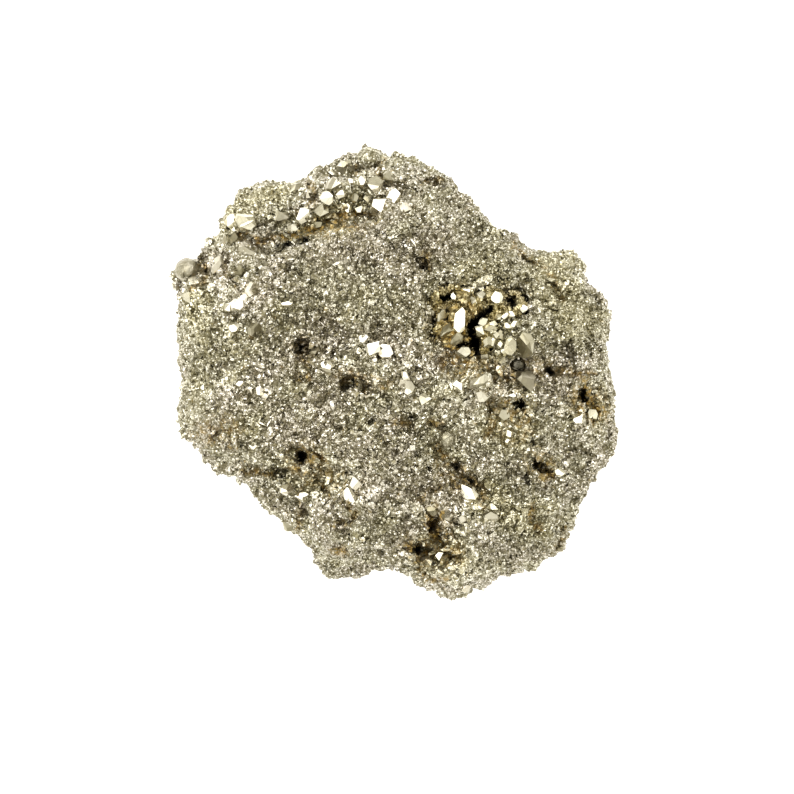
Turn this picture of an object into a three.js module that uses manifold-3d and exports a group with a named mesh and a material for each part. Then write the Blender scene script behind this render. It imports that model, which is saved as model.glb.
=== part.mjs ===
// A hand-sized specimen of massive pyrite: a granular lump with a broad, nearly level face on top,
// a lower shoulder behind a ledge, pits, crystals with flat faces grown out of it, and one small
// hollow lined with a crust of crystals. It lies on its flat broken base.
// Millimetres, +Z up. X runs to the right and Y away, as seen from above with the shoulder at the back.
import * as THREE from "three";
import { ImprovedNoise } from "three/addons/math/ImprovedNoise.js";
import { mergeVertices } from "three/addons/utils/BufferGeometryUtils.js";
import Module from "manifold-3d";

const wasm = await Module();
wasm.setup();

// Overall form
const HEIGHT = 29; // from the broken base to the general level of the top face
const RIM_HEIGHT = 12; // where the lump is widest
const TOP_ROUNDNESS = 3; // superellipse power of the profile above the rim
const BASE_ROUNDNESS = 2.4; // and of the profile below it
const BASE_CUT = 3.2; // how far the round underside would reach below the flat base
const LUMP_DETAIL = 11; // steps along each edge of the icosahedron that the lump is mapped from
const LUMP_UNEVENNESS = 0.8; // how far its corners are shifted, as a share of a step
const LUMP_SEED = 11;
const OUTLINE_SAMPLES = 720;
const SOFT_OUTLINE_ANGLE = 0.3; // radians to each side that the outline is averaged over, off the rim

// Roughness: smooth swellings, each with its wavelength and height
const SWELLINGS = [
  { wave: 9, height: 1.4 },
  { wave: 4.5, height: 0.5 },
];
// and angular blocks, each kind with its size, the spread of its levels and the steepness of its tilts
const BLOCKS = [
  { size: 6.2, levels: 1, tilt: 0.3 },
  { size: 2.9, levels: 0.9, tilt: 0.5 },
];

// The outline seen from above, anticlockwise from the left end
const OUTLINE = [
  // lower left: two round lobes, then the long flank down to the front
  [-25.4, 2.9], [-24.9, -1], [-24.7, -3.3], [-25.4, -5.2], [-25, -6.8], [-23.4, -8.5], [-21.5, -10.7],
  [-19.9, -11.9], [-17.8, -11.5], [-17.1, -13.2], [-15.7, -15], [-12.9, -17.3], [-10.2, -19.4],
  [-9.2, -22], [-7.9, -23.7], [-5.1, -23.8], [-2.4, -23.1],
  // the front: a notch, then the foremost knob
  [0.5, -22.2], [1.1, -23.6], [3.2, -23.9], [3.8, -25.5], [5.8, -26.6], [7.7, -26.1], [11, -24.7],
  // lower right
  [11.6, -23.5], [15.5, -23.2], [17.4, -22], [20, -20.6], [20.8, -18.9], [21.3, -16.1], [22.9, -13.4],
  [23.7, -11.1], [25.6, -9.5], [26, -6], [25.9, -2.5],
  // upper right: knobs, then the long straight slope to the back
  [25, 0.6], [24.8, 2.9], [25.5, 5.7], [24.6, 8.4], [23.7, 9.9], [22.3, 11.3], [21.9, 12.7],
  [20.9, 13.8], [19, 14.1], [16.5, 14], [15.3, 15.3], [11.6, 17.5], [9.3, 19.7], [7.7, 21.6], [5.8, 23.8],
  // the back: a knob, then the shoulder
  [3, 24.9], [0.7, 25.6], [-1.6, 25.5], [-2.8, 26.3], [-4, 25.9], [-5.5, 25.3], [-8.6, 24.3],
  [-10.6, 22.6], [-12.9, 21.9], [-15.3, 22.4], [-17.6, 21.6], [-19, 20.3], [-19.9, 18.7], [-20.2, 17.3],
  // upper left, with one round knob
  [-21.1, 15.4], [-22.4, 13.4], [-24.2, 13.1], [-25.5, 12.4], [-25.7, 11.2], [-24.9, 9.6], [-25.3, 6.1],
];

// The shoulder lies behind a ledge that runs across the top face from its left end to its right end
const LEDGE = { left: [-23.5, 11], right: [3.5, 20.2], drop: 4.4, width: 1.2, fade: 7, wobble: 1.3 };

// Broad swells (rise above 0) and troughs (below 0) of the top face: where, half widths, turn in degrees
const SWELLS = [
  // lumps on the shoulder
  { at: [-16, 18.6], half: [3.8, 3], turn: 20, rise: 3.2 },
  { at: [-7.6, 22.6], half: [3.4, 2.2], turn: 25, rise: 2.6 },
  { at: [-3, 24.4], half: [1.7, 1.6], turn: 0, rise: 2 },
  { at: [-8.5, 17.6], half: [4, 1.3], turn: 15, rise: -1.2 },
  // right-hand lobes and the trough between them
  { at: [19, 7.6], half: [5, 5], turn: 0, rise: 1.6 },
  { at: [19.6, -7.6], half: [4.6, 4.6], turn: 0, rise: 1.4 },
  { at: [19.6, -1], half: [6, 1.3], turn: -18, rise: -2.2 },
  { at: [13.6, -17], half: [4.4, 4], turn: 0, rise: 1.6 },
  { at: [9, -13], half: [5.4, 0.9], turn: -42, rise: -1.8 },
  // the middle of the face
  { at: [7.6, -1.2], half: [5.4, 1.5], turn: -5, rise: 1.3 },
  { at: [-6, 6], half: [6.5, 5], turn: 15, rise: 1.1 },
  { at: [-0.5, -9], half: [6.6, 3.6], turn: -10, rise: 1 },
  { at: [-7, -0.6], half: [5.6, 1.1], turn: -12, rise: -1.1 },
  // left and front lobes
  { at: [-20.6, -6.6], half: [3, 3.4], turn: 0, rise: 1.2 },
  { at: [-9, -11.4], half: [3.2, 2.2], turn: -25, rise: -2.4 },
  { at: [-3.6, -18.6], half: [5.4, 3.2], turn: -12, rise: 1.3 },
  { at: [4.4, -19.2], half: [2.4, 2.8], turn: 0, rise: -2.6 },
  { at: [6.4, -24], half: [3, 1.6], turn: 0, rise: 1.6 },
];

// Pits cut into the top face: where, half widths, turn in degrees, depth
const PITS = [
  { at: [-10.4, 3], half: [0.9, 1], turn: 0, depth: 2 },
  { at: [-10.6, -9.7], half: [1.1, 0.9], turn: 0, depth: 2.6 },
  { at: [-8.2, -11.6], half: [2, 1.6], turn: -30, depth: 1.7 },
  { at: [4.4, -20.6], half: [2.6, 1.4], turn: -14, depth: 3 },
  { at: [4.8, -17.8], half: [1.1, 2.1], turn: 12, depth: 2 },
  { at: [22.9, -3.6], half: [1.1, 2], turn: 35, depth: 1.9 },
  { at: [17.2, -10.9], half: [0.8, 1.6], turn: 42, depth: 1.7 },
  { at: [14.4, 0.8], half: [1.2, 1.1], turn: 0, depth: 1.5 },
  { at: [14.6, -3.6], half: [0.9, 0.8], turn: 0, depth: 1.3 },
  { at: [-5.1, -1.4], half: [1.3, 0.9], turn: -20, depth: 1.2 },
  { at: [3.3, 12.6], half: [0.7, 1], turn: 20, depth: 1.4 },
  { at: [-11.6, 15.2], half: [2.8, 0.9], turn: 12, depth: 1.8 },
  { at: [8.2, -13.2], half: [2.2, 0.8], turn: -42, depth: 1.6 },
  { at: [21.2, -19.6], half: [1, 0.9], turn: 0, depth: 1.4 },
];

// Crystals grown out of the top face: where, size across and habit. The leading face of a "lit" one
// turns a little to the upper left, so that it shines when the specimen is seen from above.
const FACE_CRYSTALS = [
  // the band of larger crystals in the valley behind the ledge
  { at: [0.1, 20.3], size: 1.8, habit: "cube", lit: true },
  { at: [-1.6, 19], size: 2, habit: "octahedron", lit: true },
  { at: [-1.9, 21.4], size: 2.1, habit: "pyritohedron" },
  { at: [-3.8, 22], size: 1.4, habit: "cube", lit: true },
  { at: [-5, 22.1], size: 1.2, habit: "octahedron", lit: true },
  { at: [-5.8, 20.6], size: 1.5, habit: "cube" },
  { at: [-5.5, 18.9], size: 2, habit: "octahedron", lit: true },
  { at: [-7.9, 20.2], size: 1.6, habit: "cube", lit: true },
  { at: [-7.1, 19], size: 1.3, habit: "cube", lit: true },
  { at: [-8.6, 18.6], size: 2.3, habit: "pyritohedron" },
  { at: [-10.4, 18.4], size: 2.2, habit: "cube", lit: true },
  { at: [-11.4, 16.9], size: 1.6, habit: "octahedron", lit: true },
  { at: [-7.7, 22.1], size: 2, habit: "pyritohedron" },
  { at: [-5.4, 24], size: 1.6, habit: "pyritohedron" },
  { at: [-3.2, 19.8], size: 1.7, habit: "cube" },
  // the shoulder and the left end
  { at: [-18.9, 17.5], size: 1.8, habit: "cube", lit: true },
  { at: [-17.3, 17.5], size: 1.9, habit: "cube" },
  { at: [-19, 15.7], size: 2.5, habit: "cube" },
  { at: [-20.4, 12.4], size: 2, habit: "pyritohedron" },
  { at: [-16.8, 13.8], size: 1.8, habit: "pyritohedron" },
  { at: [-18.9, 12], size: 2.2, habit: "pyritohedron" },
  { at: [-18, 7.9], size: 2.3, habit: "octahedron", lit: true },
  { at: [-16.6, 9.8], size: 1.9, habit: "cube", lit: true },
  { at: [-24, 8.6], size: 1.7, habit: "cube" },
  { at: [-18.4, 5.3], size: 1.6, habit: "octahedron", lit: true },
  { at: [-15.9, 5], size: 1.4, habit: "cube" },
  // the middle of the face
  { at: [-2.4, 2.8], size: 1.9, habit: "pyritohedron", lit: true },
  { at: [-1.2, 2.5], size: 1.6, habit: "pyritohedron", lit: true },
  { at: [-7.7, 0.8], size: 1.4, habit: "pyritohedron", lit: true },
  { at: [-15.6, -2.1], size: 1.6, habit: "octahedron", lit: true },
  { at: [1.5, -1.6], size: 1.9, habit: "cube", lit: true },
  { at: [7.4, -1.5], size: 1.6, habit: "octahedron", lit: true },
  { at: [9.6, -0.9], size: 2.6, habit: "pyritohedron" },
  { at: [10.2, -2.5], size: 2.1, habit: "pyritohedron", lit: true },
  { at: [15.4, -0.9], size: 2, habit: "cube" },
  { at: [6.2, -7.5], size: 2, habit: "pyritohedron" },
  { at: [21.2, -5.3], size: 1.4, habit: "cube", lit: true },
  { at: [20.9, 12.3], size: 1.6, habit: "pyritohedron" },
  { at: [3.6, -3], size: 1.6, habit: "cube" },
  // round the hollow
  { at: [14.9, 3.5], size: 3.4, habit: "pyritohedron" },
  { at: [13.4, 2.8], size: 2.1, habit: "plate" },
  { at: [13.4, 6.2], size: 2, habit: "plate", lit: true },
  { at: [11, 5], size: 2.6, habit: "pyritohedron" },
  { at: [12.2, 3.9], size: 1.8, habit: "cube" },
  { at: [11.8, 8.9], size: 1.8, habit: "octahedron", lit: true },
  { at: [8.3, 9.1], size: 1.6, habit: "octahedron", lit: true },
  // the front
  { at: [8.7, -13.9], size: 2.1, habit: "octahedron", lit: true },
  { at: [-5.1, -14], size: 1.9, habit: "cube", lit: true },
  { at: [-4.6, -12.6], size: 1.8, habit: "pyritohedron" },
  { at: [-10.6, -14.2], size: 1.6, habit: "octahedron", lit: true },
  { at: [-12.4, -13.3], size: 1.7, habit: "cube" },
  { at: [6.2, -16.8], size: 2, habit: "pyritohedron" },
  { at: [8.5, -16.8], size: 2, habit: "pyritohedron" },
  { at: [10.9, -16.8], size: 1.8, habit: "cube" },
];

// Round knobs that stand out of the rim: where, size across, height above the base
const KNOBS = [
  { at: [-23.7, 11.5], size: 3.2, level: 15 },
  { at: [-3.1, 24.2], size: 3.4, level: 15 },
  { at: [20.4, 12.4], size: 3.4, level: 15 },
  { at: [23, 8.4], size: 3.8, level: 13 },
  { at: [6, -24.3], size: 3.9, level: 12 },
  { at: [9.6, -23.4], size: 3.6, level: 14 },
  { at: [-23.2, -6], size: 4.2, level: 14 },
  { at: [-19.8, -10.2], size: 3.4, level: 13 },
];

// Blocks along the rim, one inside every second corner of the outline
const RIM_BLOCKS = { every: 2, smallest: 2.2, largest: 3.8, low: 6.5, high: 18.5, inside: 0.56, seed: 5 };

// Crystals over the walls and the underside
const WALL_CRYSTALS = { count: 26, smallest: 1.3, largest: 2.8, low: -0.72, high: 0.55, seed: 23 };

// The hollow: angular pockets that run into each other
const HOLLOW = [
  { at: [7.3, 6], half: [2.4, 2.9], turn: -10, depth: 3.6 },
  { at: [9.4, 4.6], half: [1.9, 2.9], turn: -12, depth: 5.4 },
  { at: [10.6, 7.4], half: [2.5, 1.7], turn: 50, depth: 4.6 },
  { at: [6.3, 8.5], half: [2.2, 1.4], turn: 8, depth: 3.2 },
  { at: [13.5, 8], half: [1.6, 1.7], turn: 0, depth: 3.2 },
];
const HOLLOW_RISE = 1.6; // how far the pockets reach above the surface
const GAP = 0.32; // between the crust and the rock that it grew on
const CRUST_DROP = 0.9; // how far the crust's own surface lies below the rock's

// Deep clefts left between the crystals of the crust
const CLEFTS = [
  { at: [10.5, 7.2], half: [1.9, 0.7], turn: 48, depth: 3.2 },
  { at: [9.3, 5.2], half: [0.8, 2.2], turn: -8, depth: 4 },
  { at: [8.3, 3.7], half: [1.4, 0.7], turn: 20, depth: 3.4 },
  { at: [6, 8.8], half: [1.1, 0.6], turn: 10, depth: 2 },
  { at: [13.6, 8.2], half: [0.75, 0.9], turn: 0, depth: 2.1 },
  { at: [5.9, 6], half: [0.6, 1.5], turn: -8, depth: 1.3 },
];

// The crust's crystals: where, size across, habit and how far their middle lies under the rock's surface
const CRUST_CRYSTALS = [
  { at: [7.5, 6], size: [1.8, 3.3, 1.4], habit: "plate", sunk: 0.5, turn: 12, lit: true },
  { at: [5.3, 5.2], size: 1.6, habit: "pyritohedron", sunk: 0.8 },
  { at: [6.6, 3.9], size: 1.8, habit: "octahedron", sunk: 0.7 },
  { at: [8, 2.6], size: 1.9, habit: "cube", sunk: 0.6, lit: true },
  { at: [8.2, 8.6], size: 1.7, habit: "octahedron", sunk: 0.4, lit: true },
  { at: [9.2, 7.7], size: 1.6, habit: "cube", sunk: 0.8 },
  { at: [11.8, 8.3], size: 1.9, habit: "octahedron", sunk: 0.3, lit: true },
  { at: [12.4, 6.9], size: 1.5, habit: "cube", sunk: 0.8 },
  { at: [10.3, 5.2], size: 1.7, habit: "pyritohedron", sunk: 0.5, lit: true },
  { at: [10.4, 3.5], size: 1.8, habit: "cube", sunk: 0.8 },
  { at: [4.9, 8.6], size: 1.5, habit: "cube", sunk: 0.8 },
  { at: [14.4, 7.2], size: 1.4, habit: "cube", sunk: 0.7 },
];

const LIT_LEAN = new THREE.Vector3(-0.16, 0.2, 1).normalize(); // where the leading faces of lit crystals turn
const LOOSE_LEAN = 0.75; // the steepest lean of the others, as a share of their height
const FACE_SINK = 0.2; // how far crystals of the top face are sunk, as a share of their size
const GOLDEN = (1 + Math.sqrt(5)) / 2;
const UP = new THREE.Vector3(0, 0, 1);
const FULL_TURN = 2 * Math.PI;

const { degToRad, lerp, smoothstep } = THREE.MathUtils;
const noise = new ImprovedNoise();

// Returns a function that gives the next number from 0 to 1 of a seeded sequence.
function drawer(seed) {
  let state = seed;
  return () => {
    state = (state * 1664525 + 1013904223) % 4294967296;
    return state / 4294967296;
  };
}

// Radius of the outline at each of OUTLINE_SAMPLES equal steps of angle from +X.
function outlineRadii() {
  const points = OUTLINE.map(([x, y]) => new THREE.Vector3(x, y, 0));
  const curve = new THREE.CatmullRomCurve3(points, true, "centripetal");
  const radii = new Array(OUTLINE_SAMPLES).fill(0);
  for (const p of curve.getPoints(OUTLINE_SAMPLES * 6)) {
    const turn = (Math.atan2(p.y, p.x) / FULL_TURN + 1) % 1;
    const k = Math.round(turn * OUTLINE_SAMPLES) % OUTLINE_SAMPLES;
    radii[k] = Math.max(radii[k], Math.hypot(p.x, p.y));
  }
  return radii.map((r, k) => r || radii[(k + OUTLINE_SAMPLES - 1) % OUTLINE_SAMPLES]);
}

// The same radii averaged over SOFT_OUTLINE_ANGLE to each side.
function averaged(radii) {
  const reach = Math.round((SOFT_OUTLINE_ANGLE / FULL_TURN) * OUTLINE_SAMPLES);
  return radii.map((_, k) => {
    let sum = 0;
    for (let i = -reach; i <= reach; i++) sum += radii[(k + i + OUTLINE_SAMPLES) % OUTLINE_SAMPLES];
    return sum / (2 * reach + 1);
  });
}

const rimRadii = outlineRadii();
const softRadii = averaged(rimRadii);

// Reads one of the two lists of radii at an angle.
function radiusAt(radii, angle) {
  const place = (((angle / FULL_TURN) % 1) + 1) * OUTLINE_SAMPLES;
  const k = Math.floor(place);
  return lerp(radii[k % OUTLINE_SAMPLES], radii[(k + 1) % OUTLINE_SAMPLES], place - k);
}

// How far out a quarter of a superellipse has come after each equal step down along it.
function evenProfile(power) {
  const steps = 400;
  const flatness = 0.6;
  const points = [];
  for (let i = 0; i <= steps; i++) {
    const a = (i / steps) * (Math.PI / 2);
    points.push(new THREE.Vector2(Math.sin(a) ** (2 / power), flatness * Math.cos(a) ** (2 / power)));
  }
  const lengths = [0];
  for (let i = 1; i <= steps; i++) lengths.push(lengths[i - 1] + points[i].distanceTo(points[i - 1]));
  return (share) => {
    const wanted = share * lengths[steps];
    let i = 1;
    while (i < steps && lengths[i] < wanted) i++;
    const t = (wanted - lengths[i - 1]) / (lengths[i] - lengths[i - 1]);
    return lerp(points[i - 1].x, points[i].x, t);
  };
}

const topReach = evenProfile(TOP_ROUNDNESS);
const baseReach = evenProfile(BASE_ROUNDNESS);

// A smooth hill of height 1 over a turned ellipse in plan.
function hill(x, y, { at, half, turn }) {
  const a = degToRad(turn);
  const dx = x - at[0];
  const dy = y - at[1];
  const u = (dx * Math.cos(a) + dy * Math.sin(a)) / half[0];
  const v = (-dx * Math.sin(a) + dy * Math.cos(a)) / half[1];
  return Math.exp(-0.7 * (u * u + v * v));
}

// How far the shoulder has dropped at a place in plan.
function ledgeDrop(x, y) {
  const [x0, y0] = LEDGE.left;
  const [x1, y1] = LEDGE.right;
  const length = Math.hypot(x1 - x0, y1 - y0);
  const along = ((x - x0) * (x1 - x0) + (y - y0) * (y1 - y0)) / length;
  const straight = ((y - y0) * (x1 - x0) - (x - x0) * (y1 - y0)) / length;
  const behind = straight + LEDGE.wobble * noise.noise(x / 4, y / 4, 2.6);
  const over = smoothstep(behind, -LEDGE.width / 2, LEDGE.width / 2);
  const kept = 1 - smoothstep(along, length - LEDGE.fade / 2, length + LEDGE.fade / 2);
  return LEDGE.drop * over * kept;
}

// Height added to the top face at a place in plan.
function relief(x, y) {
  return SWELLS.reduce((sum, s) => sum + s.rise * hill(x, y, s), -ledgeDrop(x, y));
}

// A number from 0 to 1 that belongs to one cell of a grid in space, with several uses to each cell.
function cellNumber([i, j, k], use) {
  const wave = Math.sin(i * 127.1 + j * 311.7 + k * 74.7 + use * 53.3) * 43758.5453;
  return wave - Math.floor(wave);
}

// Height of the angular block that a point belongs to: each block has a level and a tilt of its own.
function blockHeight(p, { size, levels, tilt }) {
  const home = [p.x, p.y, p.z].map((c) => Math.floor(c / size));
  let nearest = Infinity;
  let height = 0;
  for (let n = 0; n < 27; n++) {
    const cell = [home[0] + (n % 3) - 1, home[1] + (Math.floor(n / 3) % 3) - 1, home[2] + Math.floor(n / 9) - 1];
    const seed = new THREE.Vector3(...cell.map((c, axis) => (c + cellNumber(cell, axis)) * size));
    const away = p.clone().sub(seed);
    if (away.length() > nearest) continue;
    nearest = away.length();
    const slope = new THREE.Vector3(...[3, 4, 5].map((use) => cellNumber(cell, use) - 0.5));
    height = levels * (cellNumber(cell, 6) - 0.5) + 2 * tilt * away.dot(slope);
  }
  return height;
}

// Height of all the roughness at a point.
function roughness(p) {
  const swelling = SWELLINGS.reduce(
    (sum, { wave, height }) => sum + height * noise.noise(p.x / wave + 11.3, p.y / wave + 4.7, p.z / wave + 8.1),
    0,
  );
  return BLOCKS.reduce((sum, kind) => sum + blockHeight(p, kind), swelling);
}

// A point of the skin: angle round the lump, share of the outline's radius, +1 for above the rim or -1.
function skin(angle, share, side) {
  const power = side > 0 ? TOP_ROUNDNESS : BASE_ROUNDNESS;
  const climb = Math.max(0, 1 - share ** power) ** (1 / power);
  const sharp = radiusAt(rimRadii, angle);
  const radius = share * lerp(sharp, radiusAt(softRadii, angle), smoothstep(climb, 0, 0.75));
  const p = new THREE.Vector3(radius * Math.cos(angle), radius * Math.sin(angle), RIM_HEIGHT);
  p.z += side > 0 ? climb * (HEIGHT - RIM_HEIGHT) : -climb * (RIM_HEIGHT + BASE_CUT);
  const out = new THREE.Vector3(Math.cos(angle) * share ** 3, Math.sin(angle) * share ** 3, side * climb);
  // the rim itself stays true to the outline
  p.addScaledVector(out.normalize(), roughness(p) * smoothstep(climb, 0, 0.35));
  const reach = radiusAt(rimRadii, Math.atan2(p.y, p.x)) / Math.hypot(p.x, p.y);
  if (reach < 1) p.set(p.x * reach, p.y * reach, p.z);
  if (side > 0) p.z += relief(p.x, p.y) * smoothstep(climb, 0.1, 0.8);
  p.z = Math.max(0, p.z);
  return p;
}

// The skin's point for a direction on the unit sphere.
function skinAlong(direction) {
  const angle = Math.atan2(direction.y, direction.x);
  const fromPole = Math.acos(Math.min(1, Math.abs(direction.z))) / (Math.PI / 2);
  const side = direction.z >= 0 ? 1 : -1;
  return skin(angle, (side > 0 ? topReach : baseReach)(fromPole), side);
}

// The skin's point above a place in plan.
function topPoint([x, y]) {
  const angle = Math.atan2(y, x);
  const share = Math.min(0.97, Math.hypot(x, y) / radiusAt(softRadii, angle));
  return new THREE.Vector3(x, y, skin(angle, share, 1).z);
}

// A geometry with only positions left, its shared vertices merged.
function welded(geometry) {
  const bare = geometry.index ? geometry.toNonIndexed() : geometry.clone();
  bare.deleteAttribute("normal");
  bare.deleteAttribute("uv");
  return mergeVertices(bare, 1e-4);
}

// A closed geometry as a solid.
function solidOf(geometry) {
  const { attributes, index } = welded(geometry);
  return new wasm.Manifold(
    new wasm.Mesh({
      numProp: 3,
      vertProperties: attributes.position.array,
      triVerts: new Uint32Array(index.array),
    }),
  );
}

// A solid as a geometry.
function geometryOf(solid) {
  const { vertProperties, triVerts } = solid.getMesh();
  return new THREE.BufferGeometry()
    .setAttribute("position", new THREE.BufferAttribute(new Float32Array(vertProperties), 3))
    .setIndex(new THREE.BufferAttribute(new Uint32Array(triVerts), 1));
}

// A geometry turned so that the face with some normal looks up.
function faceUp(geometry, normal) {
  return geometry.applyQuaternion(new THREE.Quaternion().setFromUnitVectors(normal.normalize(), UP));
}

// Crystals about 1 across, with their leading face up
const HABITS = {
  cube: new THREE.BoxGeometry(1, 1, 1),
  octahedron: faceUp(new THREE.OctahedronGeometry(0.72), new THREE.Vector3(1, 1, 1)),
  pyritohedron: faceUp(new THREE.DodecahedronGeometry(0.6), new THREE.Vector3(1, 0, GOLDEN)),
  plate: faceUp(new THREE.CylinderGeometry(0.42, 0.54, 1, 6), new THREE.Vector3(0, 1, 0)),
};

// A shape stretched, spun about its upward axis, turned to face one way and moved to its place.
function placed(geometry, stretch, spin, facing, centre) {
  const turn = new THREE.Quaternion().setFromUnitVectors(UP, facing);
  turn.multiply(new THREE.Quaternion().setFromAxisAngle(UP, spin));
  return solidOf(geometry.clone().applyMatrix4(new THREE.Matrix4().compose(centre, turn, stretch)));
}

// An angular blob of the given half widths, turned about +Z.
function blob(centre, half, turn, detail) {
  return placed(new THREE.IcosahedronGeometry(1, detail), half, turn, UP, centre);
}

// A direction that leans at random from straight up.
function looseFacing(draw) {
  const lean = LOOSE_LEAN * Math.sqrt(draw());
  const round = FULL_TURN * draw();
  return new THREE.Vector3(lean * Math.cos(round), lean * Math.sin(round), 1).normalize();
}

// The crystals of a list, each with its middle sunk a little under the skin.
function crystalsOf(list, seed) {
  const draw = drawer(seed);
  return list.map(({ at, size, habit, lit, sunk, turn }) => {
    const centre = topPoint(at);
    centre.z -= sunk ?? size * FACE_SINK;
    const facing = lit ? LIT_LEAN : looseFacing(draw);
    const spin = turn === undefined ? FULL_TURN * draw() : degToRad(turn);
    const stretch = new THREE.Vector3(...(Array.isArray(size) ? size : [size, size, size]));
    return placed(HABITS[habit], stretch, spin, facing, centre);
  });
}

// The lump itself, with no pits or crystals, mapped from a sphere of uneven triangles.
function lumpGeometry() {
  const geometry = welded(new THREE.IcosahedronGeometry(1, LUMP_DETAIL));
  const position = geometry.getAttribute("position");
  const draw = drawer(LUMP_SEED);
  const direction = new THREE.Vector3();
  for (let i = 0; i < position.count; i++) {
    const shift = new THREE.Vector3(draw() - 0.5, draw() - 0.5, draw() - 0.5);
    direction.fromBufferAttribute(position, i).addScaledVector(shift, LUMP_UNEVENNESS / LUMP_DETAIL);
    const p = skinAlong(direction.normalize());
    position.setXYZ(i, p.x, p.y, p.z);
  }
  return geometry;
}

// Pits as angular blobs that hang from the skin.
function pits() {
  return PITS.map(({ at, half, turn, depth }) =>
    blob(topPoint(at), new THREE.Vector3(half[0], half[1], depth), degToRad(turn), 0),
  );
}

function knobs() {
  return KNOBS.map(({ at, size, level }, k) =>
    placed(HABITS.pyritohedron, new THREE.Vector3(size, size, size), k, LIT_LEAN, new THREE.Vector3(...at, level)),
  );
}

// Blocks that fill out the corners of the outline, each at a height of its own.
function rimBlocks() {
  const { every, smallest, largest, low, high, inside, seed } = RIM_BLOCKS;
  const draw = drawer(seed);
  const habits = [HABITS.pyritohedron, HABITS.cube];
  return OUTLINE.filter((_, k) => k % every === 0).map(([x, y]) => {
    const size = lerp(smallest, largest, draw());
    const pull = 1 - (inside * size) / Math.hypot(x, y);
    const centre = new THREE.Vector3(x * pull, y * pull, lerp(low, high, draw()));
    const facing = new THREE.Vector3(x, y, 10 * (draw() - 0.5)).normalize();
    const stretch = new THREE.Vector3(size, size, size);
    return placed(habits[Math.floor(draw() * 2)], stretch, FULL_TURN * draw(), facing, centre);
  });
}

// Crystals scattered over the walls and the underside.
function wallCrystals() {
  const { count, smallest, largest, low, high, seed } = WALL_CRYSTALS;
  const draw = drawer(seed);
  const habits = [HABITS.cube, HABITS.octahedron, HABITS.pyritohedron];
  return Array.from({ length: count }, (_, k) => {
    const up = lerp(low, high, draw());
    const angle = FULL_TURN * ((k + 0.8 * draw()) / count) * 5;
    const level = Math.sqrt(1 - up * up);
    const direction = new THREE.Vector3(level * Math.cos(angle), level * Math.sin(angle), up);
    const size = lerp(smallest, largest, draw());
    const centre = skinAlong(direction);
    // drawn in, so that nothing passes the outline or the base
    centre.add(new THREE.Vector3(direction.x, direction.y, 0).multiplyScalar(-0.5 * size));
    centre.z = Math.max(centre.z, size * 0.9);
    const facing = direction.clone().add(looseFacing(draw).multiplyScalar(0.5)).normalize();
    const stretch = new THREE.Vector3(size, size, size);
    return placed(habits[Math.floor(draw() * 3)], stretch, FULL_TURN * draw(), facing, centre);
  });
}

// Angular pockets that hang from above the skin, grown by some amount on every side.
function pockets(list, grown, detail) {
  return list.map(({ at, half, turn, depth }) => {
    const deep = (depth + HOLLOW_RISE) / 2;
    const centre = topPoint(at);
    centre.z += HOLLOW_RISE - deep;
    const size = new THREE.Vector3(half[0] + grown, half[1] + grown, deep + grown);
    return blob(centre, size, degToRad(turn), detail);
  });
}

function join(solids) {
  return solids.reduce((whole, one) => whole.add(one));
}

// The rock: the lump with everything grown on it, then the pits and the hollow taken out of it.
function rock() {
  const lump = solidOf(lumpGeometry());
  const pitted = join([lump, ...knobs(), ...rimBlocks(), ...wallCrystals()]).subtract(join(pits()));
  const hollow = join(pockets(HOLLOW, GAP, 1));
  return join([pitted, ...crystalsOf(FACE_CRYSTALS, 41)]).subtract(hollow);
}

// The crust: it lines and half fills the hollow, cleft to the bottom in places, and bears crystals.
function crust() {
  const room = join(pockets(HOLLOW, 0, 1));
  const sunken = solidOf(lumpGeometry().translate(0, 0, -CRUST_DROP));
  const cleft = room.intersect(sunken).subtract(join(pockets(CLEFTS, 0, 0)));
  return join([cleft, ...crystalsOf(CRUST_CRYSTALS, 59)]).intersect(room);
}

const brassy = new THREE.MeshStandardMaterial({ color: 0x9a9278, roughness: 0.42, metalness: 0.85 });
const bright = new THREE.MeshStandardMaterial({ color: 0xb8a880, roughness: 0.24, metalness: 0.95 });

function piece(name, solid, material) {
  const mesh = new THREE.Mesh(geometryOf(solid), material);
  mesh.name = name;
  return mesh;
}

const specimen = new THREE.Group();
specimen.add(piece("massive_pyrite", rock(), brassy));
specimen.add(piece("hollow_crystal_crust", crust(), bright));

// The origin is under the middle of the specimen's box, on the base.
const box = new THREE.Box3().setFromObject(specimen);
const middle = box.getCenter(new THREE.Vector3());
specimen.position.set(-middle.x, -middle.y, -box.min.z);

export default specimen;
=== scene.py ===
"""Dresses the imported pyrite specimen.

The specimen is one lump of massive pyrite that lies on its broken base and is seen from straight above.
Its plain faceted solid gets a fine broken skin, a coat of grains, the larger crystals that stand out of
it, and a crust of bright crystals in its hollow.
"""

from __future__ import annotations

import logging
import math
from collections.abc import Sequence
from dataclasses import dataclass, field
from enum import Enum

import bmesh
import bpy
import numpy as np
from mathutils import Matrix, Quaternion, Vector
from mathutils.bvhtree import BVHTree


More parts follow.
